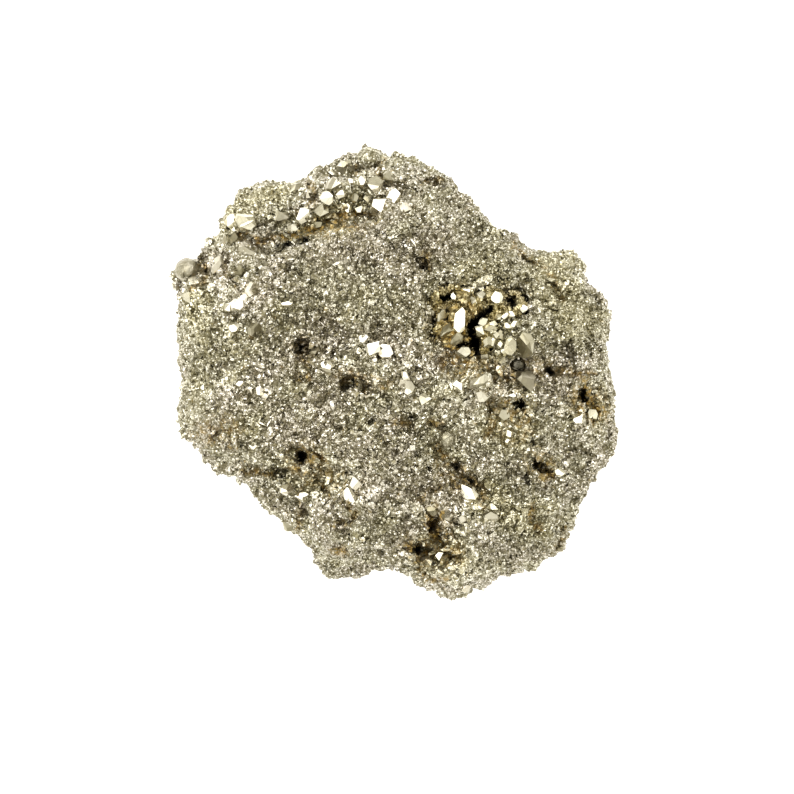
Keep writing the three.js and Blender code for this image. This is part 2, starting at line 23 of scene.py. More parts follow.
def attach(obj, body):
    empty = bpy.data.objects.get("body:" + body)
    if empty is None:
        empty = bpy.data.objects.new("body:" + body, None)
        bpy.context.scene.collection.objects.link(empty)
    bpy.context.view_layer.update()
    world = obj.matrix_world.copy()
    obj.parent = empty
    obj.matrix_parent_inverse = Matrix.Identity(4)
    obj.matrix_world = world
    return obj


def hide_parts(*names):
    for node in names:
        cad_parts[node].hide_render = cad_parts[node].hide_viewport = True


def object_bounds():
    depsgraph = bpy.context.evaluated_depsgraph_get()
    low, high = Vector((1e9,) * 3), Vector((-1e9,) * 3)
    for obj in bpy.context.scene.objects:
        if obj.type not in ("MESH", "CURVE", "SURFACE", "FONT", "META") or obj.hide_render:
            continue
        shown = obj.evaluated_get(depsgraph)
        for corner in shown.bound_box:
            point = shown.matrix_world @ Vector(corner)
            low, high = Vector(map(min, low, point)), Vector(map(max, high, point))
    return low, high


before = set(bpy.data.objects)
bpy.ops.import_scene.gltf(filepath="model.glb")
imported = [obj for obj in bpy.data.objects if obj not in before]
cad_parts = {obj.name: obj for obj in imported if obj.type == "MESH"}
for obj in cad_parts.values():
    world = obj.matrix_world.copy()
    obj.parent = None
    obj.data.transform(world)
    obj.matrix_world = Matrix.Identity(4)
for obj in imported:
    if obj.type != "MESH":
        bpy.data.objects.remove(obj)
CAD_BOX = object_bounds()

LOG = logging.getLogger("pyrite")
MM = 0.001

# Where the middle of the drawn outline lies in the frame, in millimetres
OUTLINE_ORIGIN = (0.15, -0.17)

# The photograph: its width in millimetres at the rim's level, its middle and the rim's level
PHOTO_WIDTH = 92.7
PHOTO_MIDDLE = (0.35, -2.75)
RIM_LEVEL = 12.0

# The main light, as a direction from the specimen
KEY_DIRECTION = Vector((-0.31, 0.38, 0.87)).normalized()
LIGHT_COLOUR = (1.0, 0.99, 0.97)
# Where the tent round the specimen is brightest
TENT_DIRECTION = Vector((-0.14, 0.2, 1.0)).normalized()
# Faces that lean this way throw the main light straight up at the camera
LIT_LEAN = (KEY_DIRECTION + Vector((0, 0, 1))).normalized()

ROCK_NODE = "massive_pyrite"
CRUST_NODE = "hollow_crystal_crust"

# Half the width of the bare spot that a crystal leaves in the coat, as a share of its size
FOOTPRINT = 0.54


class Habit(Enum):
    """Forms that the crystals and grains take."""

    CUBE = "cube"
    OCTAHEDRON = "octahedron"
    PYRITOHEDRON = "pyritohedron"
    BLOCK = "block"


@dataclass(frozen=True)
class Patch:
    """A soft-edged oval patch of the upper side.

    Attributes:
        at: its middle in plan, in millimetres from the outline's origin.
        half: its half widths in millimetres.
        turn: the angle of its length from +X, in degrees.
        strength: its strength in the middle, from 0 to 1.
    """

    at: tuple[float, float]
    half: tuple[float, float]
    turn: float = 0.0
    strength: float = 1.0


@dataclass(frozen=True)
class Crystal:
    """One crystal with a place of its own.

    Attributes:
        at: its middle in plan, in millimetres from the outline's origin.
        size: its size across, in millimetres.
        shine: how squarely its leading face throws the main light up, from 0 for any way to 1.
        tone: how bright its metal is, from 0 to 1.
        stretch: its length over its width.
        turn: the angle of its length from +X, in degrees, or None for any.
        habit: its form.
        sunk: how far its middle lies under the surface, as a share of its size.
    """

    at: tuple[float, float]
    size: float
    shine: float = 0.0
    tone: float = 0.6
    stretch: float = 1.0
    turn: float | None = None
    habit: Habit = Habit.BLOCK
    sunk: float = 0.0

    def footprint(self) -> Patch:
        """Gives the oval that the crystal covers, where no grains grow."""
        half = FOOTPRINT * self.size
        return Patch(self.at, (half * self.stretch, half), self.turn or 0.0)


@dataclass(frozen=True)
class Crease:
    """A narrow crease in the upper side, sunk, rusty and darkened with painted shade.

    Attributes:
        path: the points that it runs through in plan, in millimetres from the outline's origin.
        width: half its width in millimetres.
        strength: how deep and rusty it is and how dark its painted shade is, from 0 to 1.
    """

    path: tuple[tuple[float, float], ...]
    width: float
    strength: float


# How soft the edges of patches are, as shares of their half widths
STAIN_EDGE = 0.6
COARSE_EDGE = 0.5
CALM_EDGE = 0.7
HOLE_EDGE = 0.2
HOLE_MOUTH_EDGE = 0.6
BARE_EDGE = 0.1

# Rust in and round the pits and crevices
RUST = (
    Patch((4.6, -20.6), (3.2, 1.8), -14),
    Patch((5.0, -17.6), (1.4, 2.4), 12),
    Patch((22.6, -3.4), (1.8, 2.6), 35),
    Patch((-10.2, -10.2), (2.2, 1.8), -20, 0.8),
    Patch((-7.6, -12.4), (2.6, 1.6), -30, 0.6),
    Patch((-6.2, 17.4), (3.6, 1.4), 15, 0.8),
    Patch((7.4, 4.2), (2.6, 4.6), 0, 0.9),
    Patch((16.8, -10.6), (1.4, 2.0), 42, 0.7),
    Patch((10.6, 0.4), (4.4, 1.2), -12, 0.5),
    Patch((13.2, -4.6), (2.4, 3.4), 20, 0.45),
    Patch((-10.4, 3.0), (1.2, 1.2), 0, 0.4),
    Patch((-3.4, -0.8), (3.4, 0.8), -12, 0.5),
    Patch((7.8, -12.6), (3.2, 1.3), -42, 0.6),
    Patch((-20.2, -6.6), (2.6, 1.6), 0, 0.4),
    Patch((17.2, 0.6), (3.0, 1.0), -15, 0.45),
)

# Holes and gaps where no light comes back: they are sunk, kept bare of grains and painted black as shade
HOLES = (
    Patch((-10.5, 2.9), (0.5, 0.62), -30),
    Patch((-10.7, -9.6), (0.5, 0.4), -20),
    Patch((-13.0, -11.9), (0.35, 0.25), 0, 0.6),
    Patch((-8.2, -13.2), (0.3, 0.5), -30, 0.5),
    Patch((14.6, -3.7), (0.7, 0.5), -10),
    Patch((3.25, 12.9), (0.25, 0.4), 20, 0.6),
    Patch((3.5, 12.2), (0.3, 0.25), 0, 0.7),
    Patch((21.9, -2.6), (0.45, 0.75), 35, 0.9),
    Patch((22.8, -4.4), (0.35, 0.6), 20, 0.8),
    Patch((17.1, -10.8), (0.3, 0.85), 42, 0.9),
    Patch((2.7, -20.4), (0.6, 0.3), -20, 0.7),
    Patch((6.6, -21.0), (0.3, 0.4), 40, 0.6),
    Patch((5.0, -19.2), (0.2, 0.5), 12, 0.5),
    Patch((4.4, -17.8), (0.25, 0.5), 0, 0.5),
    Patch((21.2, -19.6), (0.4, 0.35), 0, 0.8),
    Patch((-12.8, 14.8), (1.1, 0.2), 12, 0.75),
    Patch((-10.6, 15.4), (0.8, 0.16), 25, 0.7),
    Patch((7.1, -11.0), (0.4, 0.2), -50, 0.6),
    Patch((8.8, -12.4), (0.5, 0.2), -42, 0.5),
    Patch((18.1, 0.2), (0.3, 0.3), 0, 0.9),
    Patch((-5.2, -1.3), (0.5, 0.3), -20, 0.5),
    Patch((-3.4, -1.7), (0.25, 0.3), 0, 0.5),
    Patch((15.4, -12.4), (0.25, 0.5), 20, 0.5),
    Patch((2.2, -5.0), (0.4, 0.25), 10, 0.45),
    Patch((-2.6, -5.4), (0.3, 0.25), 0, 0.4),
    Patch((10.86, 7.25), (0.75, 0.4), 45),
    Patch((9.93, 6.54), (0.75, 0.42), 35),
    Patch((9.17, 5.75), (0.6, 0.6)),
    Patch((8.9, 4.7), (0.48, 0.9), 5),
    Patch((9.3, 3.4), (0.62, 0.75)),
    Patch((9.46, 2.6), (0.35, 0.5)),
    Patch((7.8, 3.35), (0.7, 0.2), -10, 0.85),
    Patch((6.2, 8.75), (0.62, 0.4), 15),
    Patch((5.5, 8.55), (0.32, 0.28)),
    Patch((13.75, 8.2), (0.5, 0.6), 10),
)

# Creases between the lobes and the larger crystals
CREASES = (
    Crease(((-18.0, 16.1), (-15.4, 15.2), (-13.3, 15.7), (-11.0, 16.1)), 0.35, 0.85),
    Crease(((-11.0, 16.1), (-8.9, 16.6), (-7.5, 17.6)), 0.35, 0.85),
    Crease(((-7.5, 17.6), (-4.9, 18.4), (-2.6, 18.3)), 0.3, 0.45),
    Crease(((-10.0, 22.1), (-9.1, 21.2), (-9.6, 19.7), (-11.0, 18.2)), 0.25, 0.5),
    Crease(((-22.4, 13.0), (-21.7, 11.6), (-22.0, 10.2), (-23.6, 10.0)), 0.3, 0.6),
    Crease(((-19.6, 13.0), (-19.4, 11.5), (-18.0, 10.0)), 0.2, 0.6),
    Crease(((5.0, -8.2), (5.5, -9.5), (6.8, -10.5), (7.5, -11.3), (8.8, -12.3), (9.8, -13.1)), 0.28, 0.7),
    Crease(((9.8, -13.1), (10.5, -14.5), (10.3, -15.5)), 0.25, 0.5),
    Crease(((4.6, -16.2), (4.3, -18.0), (5.4, -19.4), (6.1, -20.8), (7.5, -21.5)), 0.38, 0.9),
    Crease(((1.3, -20.0), (2.7, -20.5), (4.0, -20.8)), 0.38, 0.85),
    Crease(((3.0, -21.8), (3.0, -23.2), (4.4, -23.9), (6.1, -23.8)), 0.25, 0.6),
    Crease(((16.4, -9.9), (17.3, -10.8), (18.2, -12.0)), 0.3, 0.7),
    Crease(((21.7, -2.2), (22.7, -3.3), (23.6, -4.3), (22.9, -5.4)), 0.42, 0.9),
    Crease(((18.0, 0.3), (19.4, 0.3), (21.1, -0.1), (23.1, -0.1)), 0.3, 0.55),
    Crease(((-11.4, -8.7), (-10.5, -9.5), (-8.9, -9.5), (-8.2, -10.3)), 0.3, 0.75),
    Crease(((-8.9, -12.4), (-10.0, -13.1), (-11.0, -14.1)), 0.25, 0.6),
    Crease(((-5.7, -14.8), (-4.4, -16.2), (-5.1, -17.1), (-6.5, -17.3)), 0.3, 0.55),
    Crease(((-11.0, -14.8), (-10.6, -16.2), (-11.1, -18.0)), 0.25, 0.5),
    Crease(((-5.7, -0.6), (-3.7, -1.0), (-3.2, -2.2)), 0.4, 0.55),
    Crease(((-11.0, 2.7), (-10.3, 1.3), (-9.6, -0.1)), 0.2, 0.5),
    Crease(((13.8, 15.8), (14.1, 14.4), (15.2, 13.5), (16.6, 12.8)), 0.25, 0.6),
    Crease(((16.6, 12.8), (17.8, 11.9), (18.9, 10.0), (19.6, 8.4)), 0.2, 0.4),
    Crease(((5.4, -13.1), (4.2, -13.6), (3.0, -14.8)), 0.25, 0.5),
    Crease(((9.8, -2.5), (11.2, -3.7), (11.4, -6.0), (10.5, -7.3)), 0.35, 0.5),
    Crease(((13.0, -3.1), (15.0, -4.0), (15.4, -5.4)), 0.35, 0.6),
    Crease(((15.9, -15.4), (15.9, -16.9), (16.8, -18.0)), 0.3, 0.6),
    Crease(((19.7, -18.0), (19.6, -19.4), (18.9, -20.6)), 0.25, 0.6),
    Crease(((-23.7, -6.8), (-22.1, -7.8), (-20.1, -7.8), (-18.2, -8.7)), 0.25, 0.4),
    Crease(((-17.3, -11.3), (-15.4, -11.5), (-13.8, -11.7)), 0.3, 0.6),
    Crease(((7.2, -0.1), (8.9, 0.6), (11.2, 0.2), (13.0, -0.5)), 0.3, 0.5),
    Crease(((-0.9, 25.2), (-1.9, 23.5), (-1.2, 21.9)), 0.2, 0.4),
    Crease(((-5.1, 24.2), (-4.0, 23.5), (-4.9, 22.6)), 0.2, 0.4),
    Crease(((4.0, 22.4), (5.4, 22.5)), 0.3, 0.6),
    Crease(((3.6, 13.7), (4.0, 12.1)), 0.36, 0.5),
    Crease(((-6.9, -20.4), (-5.8, -20.5)), 0.5, 0.6),
    Crease(((0.0, -5.5), (1.9, -5.9)), 0.35, 0.5),
    Crease(((4.2, -5.7), (5.4, -5.9)), 0.4, 0.55),
    Crease(((-16.1, 5.2), (-16.4, 4.4)), 0.35, 0.6),
    Crease(((-11.0, -0.5), (-9.8, -0.8)), 0.35, 0.45),
)

# Sunken patches of duller grains
DULL = (
    Patch((-4.4, -1.7), (1.9, 1.2), -10),
    Patch((19.6, -0.2), (2.6, 1.5), -15),
    Patch((14.8, -3.9), (1.5, 1.2)),
    Patch((-9.3, -9.8), (2.6, 1.8), -25),
    Patch((-20.2, -8.2), (2.8, 1.5), -15, 0.9),
    Patch((-15.2, -6.2), (6.5, 1.4), -5, 0.6),
    Patch((-14.4, -11.0), (2.2, 1.2), -20, 0.6),
    Patch((4.5, -18.9), (2.3, 2.9), 10, 0.6),
    Patch((15.7, -16.8), (1.7, 1.5), 0, 0.9),
    Patch((18.4, -19.9), (2.2, 1.8), 20),
    Patch((-16.2, 4.8), (1.8, 1.3), 0, 0.8),
    Patch((-12.2, 16.0), (3.0, 0.9), 12, 0.9),
    Patch((5.6, -11.4), (2.4, 0.9), -40, 0.9),
    Patch((-5.8, -16.8), (1.5, 1.1), 0, 0.6),
    Patch((-1.4, -17.1), (1.5, 1.1), 0, 0.6),
    Patch((17.1, -10.5), (1.3, 1.3), 0, 0.8),
    Patch((3.2, 12.4), (1.2, 1.5), 20, 0.9),
    Patch((6.0, 8.6), (2.0, 1.5), 15, 0.8),
    Patch((16.4, 14.0), (2.2, 1.4), -20, 0.5),
    Patch((22.8, -3.4), (1.6, 2.0), 35, 0.9),
    Patch((2.8, -8.4), (1.8, 2.2), 10, 0.5),
    Patch((7.5, 1.0), (2.6, 1.0), 10, 0.6),
    Patch((-25.0, -3.0), (1.0, 3.0), 0, 0.5),
)

# Raised patches of paler grains
PALE = (
    Patch((-7.5, 13.8), (3.8, 2.2), 10),
    Patch((-17.8, 8.0), (2.4, 2.2)),
    Patch((-13.5, -1.5), (2.2, 1.2), -10, 0.9),
    Patch((5.4, 16.5), (1.8, 1.8), 0, 0.8),
    Patch((9.4, -2.4), (1.4, 2.4), 0, 0.8),
    Patch((-0.6, -9.5), (5.6, 1.1), -8, 0.6),
    Patch((8.5, -14.4), (2.0, 1.5), 0, 0.6),
    Patch((15.3, -8.2), (2.4, 1.8), 0, 0.5),
    Patch((-5.0, -13.2), (2.4, 1.8), -30, 0.9),
    Patch((-2.0, 2.6), (3.4, 1.8), 0, 0.5),
    Patch((-24.2, 11.8), (1.6, 1.6), 0, 0.6),
    Patch((-3.0, 20.6), (6.0, 2.2), 10, 0.5),
    Patch((-18.0, 18.0), (3.5, 1.8), 0, 0.6),
    Patch((-1.0, 10.2), (4.0, 2.6), 0, 0.3),
    Patch((12.0, 4.6), (3.0, 2.6), 0, 0.4),
    Patch((7.2, -23.0), (2.0, 1.2), 0, 0.6),
)

# Patches of yellower metal
WARM = (
    Patch((-16.6, 19.2), (6.0, 3.0), 20, 0.7),
    Patch((-22.0, 3.9), (2.6, 5.6), 0, 0.7),
    Patch((-11.2, -11.4), (4.6, 3.0), -20, 0.9),
    Patch((5.6, -20.6), (4.6, 2.6)),
    Patch((13.6, -6.0), (3.6, 3.0)),
    Patch((21.6, 6.2), (2.6, 3.2)),
    Patch((18.0, 10.2), (3.6, 3.2), 0, 0.8),
    Patch((10.4, 6.8), (5.6, 5.6), 0, 0.9),
    Patch((-7.0, 18.2), (4.6, 2.4), 20, 0.9),
    Patch((15.0, -16.0), (5.0, 4.0), 0, 0.5),
    Patch((22.4, -4.6), (2.4, 3.4), 0, 0.7),
)

# Patches where the crystals are larger
COARSE = (
    Patch((-5.0, 20.4), (7.0, 2.8), 6),
    Patch((-13.0, 18.2), (4.4, 2.2), 35, 0.6),
    Patch((-18.4, 15.6), (4.0, 3.6)),
    Patch((-22.0, 10.4), (3.4, 3.6)),
    Patch((-17.6, 8.4), (2.8, 2.2), 0, 0.7),
    Patch((-3.0, 1.6), (5.2, 2.8), -10, 0.7),
    Patch((10.0, -2.6), (7.0, 4.6), -10, 0.8),
    Patch((10.4, 4.6), (5.6, 5.4)),
    Patch((-7.0, -12.8), (6.4, 3.4), -15, 0.8),
    Patch((5.6, -19.4), (4.4, 4.0)),
    Patch((7.2, -16.6), (6.0, 2.0)),
    Patch((22.6, -4.4), (2.0, 2.6)),
    Patch((-16.4, -1.6), (4.0, 2.0), 0, 0.6),
    Patch((7.0, -24.0), (5.0, 2.4), 0, 0.8),
    Patch((-24.2, 1.0), (1.6, 9.0), 0, 0.6),
    Patch((20.4, 12.2), (2.6, 2.4), 0, 0.8),
)

# Patches where the grains are alike, so that they look smoother
CALM = (
    Patch((-16.2, 19.0), (4.6, 3.2), 20, 0.8),
    Patch((-13.0, 20.6), (3.0, 1.8), 20, 0.8),
    Patch((-3.0, 23.4), (4.6, 2.6), 5, 0.7),
    Patch((2.6, 22.6), (4.0, 2.6), -35, 0.6),
    Patch((9.0, 18.0), (5.0, 2.4), -45, 0.5),
    Patch((-19.8, 14.4), (2.4, 2.2), 60, 0.7),
    Patch((-24.2, 5.6), (1.5, 5.0), 0, 0.6),
    Patch((-23.4, -6.6), (2.2, 3.6), 30, 0.6),
    Patch((19.0, 12.6), (3.8, 2.0), -10, 0.7),
    Patch((23.6, 6.6), (2.2, 5.2), 15, 0.7),
    Patch((24.6, -5.0), (1.8, 6.0), 0, 0.5),
    Patch((20.0, -17.4), (4.0, 2.4), 50, 0.5),
    Patch((-12.0, -18.6), (5.0, 1.6), -40, 0.7),
    Patch((7.6, -24.6), (4.6, 1.6), 15, 0.5),
    Patch((-4.6, -22.4), (4.6, 1.6), 0, 0.4),
    Patch((14.6, 6.0), (2.0, 4.0), 0, 0.4),
)

# Crystals of the top face
FACE_CRYSTALS = (
    Crystal((0.0, 20.4), 1.8, 0.95, 1.0, 1.1, 80, sunk=-0.05),
    Crystal((-1.7, 19.2), 2.3, 0.8, 0.9, 1.15, 30, sunk=-0.05),
    Crystal((-2.1, 21.8), 2.2, 0.45, 0.55, sunk=0.0),
    Crystal((-3.8, 22.2), 1.4, 0.9, 0.85, sunk=-0.05),
    Crystal((-5.0, 22.2), 1.0, 0.8, 0.7, sunk=-0.05),
    Crystal((-7.8, 20.3), 1.5, 0.9, 0.9, 1.2, -40, sunk=-0.05),
    Crystal((-6.1, 20.7), 1.1, 0.75, 0.7, 1.5, 30, sunk=-0.05),
    Crystal((-5.6, 18.9), 1.3, 0.92, 0.9, 1.6, 80, sunk=-0.05),
    Crystal((-7.0, 18.9), 1.0, 0.75, 0.7, 1.4, 80, sunk=-0.05),
    Crystal((-8.5, 18.8), 2.0, 0.55, 0.6, 1.1, 60, sunk=0.0),
    Crystal((-10.5, 18.2), 1.7, 0.88, 0.85, 1.2, 60, sunk=-0.05),
    Crystal((-9.6, 22.6), 0.9, 0.8, 0.7, sunk=-0.05),
    Crystal((-7.1, 21.8), 1.9, 0.4, 0.5, 1.1, 10, sunk=0.05),
    Crystal((-4.1, 19.1), 1.3, 0.7, 0.7, sunk=0.0),
    Crystal((-4.6, 20.5), 1.5, 0.5, 0.55, 1.2, 80, sunk=0.0),
    Crystal((1.3, 19.0), 1.2, 0.6, 0.6, 1.3, -20, sunk=0.0),
    Crystal((-8.9, 17.1), 1.5, 0.5, 0.5, 1.2, 70, sunk=0.0),
    Crystal((-2.9, 20.5), 1.5, 0.5, 0.6, 1.2, 10, sunk=0.0),
    Crystal((-9.5, 20.6), 1.6, 0.45, 0.5, 1.1, 0, sunk=0.05),
    Crystal((-11.6, 16.8), 1.4, 0.6, 0.6, 1.3, 20, sunk=0.0),
    Crystal((-5.6, 23.9), 1.8, 0.35, 0.35, 1.2, 0, sunk=0.1),
    Crystal((-0.4, 22.6), 1.5, 0.4, 0.4, 1.2, -40, sunk=0.1),
    Crystal((-11.2, 21.4), 1.6, 0.4, 0.45, 1.2, 30, sunk=0.1),
    Crystal((-13.0, 18.0), 1.7, 0.45, 0.5, 1.2, 20, sunk=0.1),
    Crystal((-18.9, 17.5), 1.9, 1.0, 1.0),
    Crystal((-17.3, 17.5), 2.0, 0.5, 0.8, 1.4, -20),
    Crystal((-18.9, 15.6), 2.2, 0.2, 0.15, 1.2, 10, sunk=0.2),
    Crystal((-20.4, 12.4), 1.6, 0.6, 0.5, 1.5, 72, sunk=0.1),
    Crystal((-16.9, 14.0), 1.6, 0.5, 0.45, 1.6, 0, sunk=0.1),
    Crystal((-18.0, 11.9), 1.5, 0.1, 0.0, 1.4, -60, sunk=0.1),
    Crystal((-17.1, 17.3), 0.35, 0.9, 0.9, 6.0, 24, sunk=-0.8),
    Crystal((-15.9, 9.5), 1.0, 0.0, 0.0),
    Crystal((-12.8, 12.3), 0.9, 0.0, 0.0),
    Crystal((-9.1, 2.6), 1.4, 0.1, 0.05),
    Crystal((-22.0, -1.7), 0.7, 0.9, 0.9),
    Crystal((-1.3, -1.0), 0.9, 0.0, 0.0),
    Crystal((1.3, -0.3), 0.9, 0.9, 0.95, 1.9, -50),
    Crystal((13.8, -2.6), 0.7, 0.9, 0.95, 2.2, 10),
    Crystal((15.3, -2.7), 0.6, 0.8, 0.9, 1.4, 60),
    Crystal((12.6, -4.6), 2.0, 0.5, 0.3, habit=Habit.PYRITOHEDRON, sunk=0.2),
    Crystal((7.1, -4.8), 0.9, 0.0, 0.0, 1.6, 20),
    Crystal((19.0, -11.4), 1.0, 0.85, 0.9, 1.3, -20),
    Crystal((19.6, -18.9), 0.6, 0.9, 0.9),
    Crystal((19.3, -20.2), 1.0, 0.0, 0.0),
    Crystal((-12.1, -17.6), 1.6, 0.5, 0.3, 1.3, -30, sunk=0.1),
    Crystal((3.3, 22.3), 0.2, 0.9, 0.9, 14.0, -39, sunk=-1.2),
    Crystal((2.2, 15.1), 0.2, 0.9, 0.9, 6.0, -53, sunk=-1.2),
    Crystal((-15.4, -5.7), 0.22, 0.9, 0.9, 8.0, -31, sunk=-1.2),
    Crystal((-14.4, -5.7), 0.2, 0.9, 0.9, 5.0, 61, sunk=-1.2),
    Crystal((-18.0, 7.9), 1.7, 0.85, 0.9),
    Crystal((-17.2, 8.5), 1.4, 0.9, 0.9),
    Crystal((-19.1, 7.5), 1.2, 0.8, 0.9),
    Crystal((-16.6, 9.8), 1.5, 0.6, 0.8, 1.7, 70),
    Crystal((-24.0, 8.6), 1.6, 0.5, 0.7),
    Crystal((-18.4, 5.3), 1.5, 0.8, 0.9),
    Crystal((-15.9, 5.0), 1.7, 0.0, 0.1),
    Crystal((-12.3, 8.1), 1.1, 0.9, 0.9, 1.6, 0),
    Crystal((-2.4, 2.8), 1.9, 1.0, 1.0, 1.1, 60, sunk=-0.25),
    Crystal((-1.1, 2.5), 1.8, 1.0, 1.0, 1.1, 100, sunk=-0.25),
    Crystal((-7.7, 0.8), 1.5, 1.0, 1.0, sunk=-0.15),
    Crystal((-15.6, -2.1), 1.3, 0.8, 0.8),
    Crystal((-14.8, -2.5), 1.0, 0.9, 0.9),
    Crystal((-17.8, -1.1), 1.2, 0.9, 0.9),
    Crystal((1.5, -1.6), 1.5, 0.6, 0.7, 1.6, -35),
    Crystal((7.4, -1.5), 1.0, 0.9, 0.9, 1.9, -45),
    Crystal((9.6, -0.9), 1.7, 0.3, 0.35, 1.5, 20, sunk=0.2),
    Crystal((10.2, -2.5), 1.8, 0.5, 0.7),
    Crystal((15.4, -0.9), 2.2, 0.2, 0.35, 1.6, -30),
    Crystal((13.3, -7.0), 1.2, 0.9, 1.0),
    Crystal((13.2, -7.7), 1.0, 0.8, 0.9),
    Crystal((21.2, -5.3), 1.4, 1.0, 1.0),
    Crystal((20.9, -6.0), 1.0, 0.7, 0.8),
    Crystal((22.9, -4.8), 1.4, 0.6, 0.8),
    Crystal((20.7, 12.5), 1.0, 0.3, 0.3),
    Crystal((3.6, -3.0), 1.6, 0.5, 0.6),
    Crystal((8.7, -13.9), 1.5, 1.0, 1.0, 1.9, -45, sunk=-0.1),
    Crystal((-5.1, -14.0), 1.5, 0.9, 0.95, 1.5, -60),
    Crystal((-4.6, -12.6), 1.8, 0.7, 0.8),
    Crystal((-10.6, -14.2), 1.4, 0.9, 0.9, 1.5, 0),
    Crystal((-12.4, -13.3), 1.6, 0.4, 0.7),
    Crystal((6.1, -16.4), 1.5, 0.45, 0.5, 1.2, 0, sunk=0.1),
    Crystal((8.2, -16.8), 1.5, 0.6, 0.6, 1.2, 20, sunk=0.1),
    Crystal((11.1, -16.6), 1.5, 0.5, 0.55, 1.2, -10, sunk=0.15),
    Crystal((5.4, -21.3), 1.3, 1.0, 1.0, sunk=-0.3),
    Crystal((8.0, -24.9), 1.1, 0.7, 0.8, 1.8, 0),
    Crystal((4.4, -15.4), 1.8, 0.0, 0.0, sunk=0.25),
    Crystal((-16.2, -8.4), 1.2, 0.8, 0.8),
)

# Crystals round the hollow's mouth
MOUTH_CRYSTALS = (
    Crystal((15.0, 3.0), 2.3, 0.1, 0.2, 1.35, 84, sunk=0.1),
    Crystal((13.4, 3.0), 1.4, 0.4, 0.55, 1.7, 80),
    Crystal((11.0, 5.0), 1.6, 0.5, 0.7),
    Crystal((12.2, 4.4), 1.5, 0.4, 0.6),
    Crystal((11.4, 3.6), 1.4, 0.6, 0.8),
    Crystal((12.1, 5.6), 1.2, 0.5, 0.8),
    Crystal((10.4, 2.2), 1.6, 0.4, 0.6),
    Crystal((12.6, 1.6), 1.5, 0.5, 0.7),
    Crystal((9.6, 10.0), 1.3, 0.7, 0.8, 1.5, -30),
)

# Crystals of the crust in the hollow
CRUST_CRYSTALS = (
    Crystal((7.6, 6.1), 1.55, 1.0, 1.0, 2.1, 84, sunk=-0.45),
    Crystal((6.1, 5.0), 1.3, 0.3, 0.35, 1.8, 62, sunk=0.0),
    Crystal((7.2, 3.9), 1.3, 0.3, 0.3, 1.5, 30, sunk=0.1),
    Crystal((8.0, 2.45), 1.5, 0.55, 0.7, 1.2, 0, sunk=0.0),
    Crystal((8.1, 1.1), 1.2, 0.9, 0.9, sunk=0.0),
    Crystal((6.9, 8.85), 0.8, 0.9, 1.0, 1.3, 80, sunk=-0.2),
    Crystal((8.3, 9.5), 1.15, 1.0, 1.0, 1.3, 30, sunk=-0.2),
    Crystal((9.1, 8.2), 1.2, 0.45, 0.5, sunk=0.0),
    Crystal((10.0, 8.9), 1.2, 0.5, 0.6, sunk=0.0),
    Crystal((11.9, 8.6), 1.5, 1.0, 1.0, 1.15, 60, sunk=-0.2),
    Crystal((9.9, 4.85), 1.3, 0.7, 0.8, 1.2, -40, sunk=-0.2),
    Crystal((10.2, 5.9), 1.1, 0.6, 0.8, 1.4, 40, sunk=-0.1),
    Crystal((11.3, 5.6), 1.1, 0.7, 0.8, sunk=-0.1),
    Crystal((12.0, 6.5), 0.9, 0.5, 0.7, sunk=0.0),
    Crystal((10.7, 3.6), 1.2, 0.5, 0.6, 1.4, 80, sunk=0.0),
    Crystal((11.6, 4.4), 1.1, 0.6, 0.7, sunk=0.0),
    Crystal((12.3, 3.4), 1.0, 0.7, 0.8, 1.5, 70, sunk=0.0),
    Crystal((10.9, 2.2), 1.2, 0.4, 0.6, sunk=0.0),
    Crystal((5.6, 6.7), 1.2, 0.3, 0.4, 1.7, 75, sunk=0.0),
    Crystal((12.9, 9.4), 1.0, 0.6, 0.7, sunk=0.0),
    Crystal((14.9, 7.4), 1.0, 0.8, 0.9, sunk=0.0),
)

# Crystals that form a ring with a deeper golden heart, beside the hollow's gap
RING_MIDDLE = (13.3, 6.1)
RING_RADIUS = 0.72
RING_COUNT = 6
RING_CRYSTALS = tuple(
    Crystal(
        (RING_MIDDLE[0] + RING_RADIUS * math.cos(angle), RING_MIDDLE[1] + RING_RADIUS * math.sin(angle)),
        size=0.85,
        shine=0.8,
        tone=0.9,
        stretch=1.3,
        turn=math.degrees(angle) + 90,
        sunk=-0.1,
    )
    for angle in (0.3 + 2 * math.pi * k / RING_COUNT for k in range(RING_COUNT))
)


@dataclass(frozen=True)
class Knob:
    """A round knob that stands out of the rock.

    Attributes:
        at: its middle in plan, in millimetres from the outline's origin.
        size: its size across, in millimetres.
        sunk: how far its middle lies under the surface, as a share of its size.
        tone: how bright its metal is, from 0 to 1.
        dark: how black it is, from 0 to 1.
    """

    at: tuple[float, float]
    size: float
    sunk: float = 0.2
    tone: float = 0.4
    dark: float = 0.0

    def footprint(self) -> Patch:
        """Gives the circle that the knob covers, where no grains grow."""
        return Patch(self.at, (0.5 * self.size, 0.5 * self.size))


# Knobs that are smooth and round
SMOOTH_KNOBS = (
    Knob((-23.95, 11.95), 3.0, -0.1, 0.05, dark=0.15),
    Knob((14.2, 0.95), 2.3, 0.05, 0.0, dark=0.78),
    Knob((6.1, -7.5), 2.2, 0.1, 0.1, dark=0.1),
)

# Knobs that are as grainy as the rock
GRAINY_KNOBS = (
    Knob((-3.0, 24.9), 2.9, 0.0, 0.35),
    Knob((21.4, 12.3), 2.2, 0.1, 0.4),
)


def in_frame(at: tuple[float, float]) -> tuple[float, float]:
    """Turns a place drawn in millimetres into metres of the frame.

    Args:
        at: the place in plan, from the outline's origin.

    Returns:
        Its x and y in the frame.
    """
    return ((at[0] + OUTLINE_ORIGIN[0]) * MM, (at[1] + OUTLINE_ORIGIN[1]) * MM)


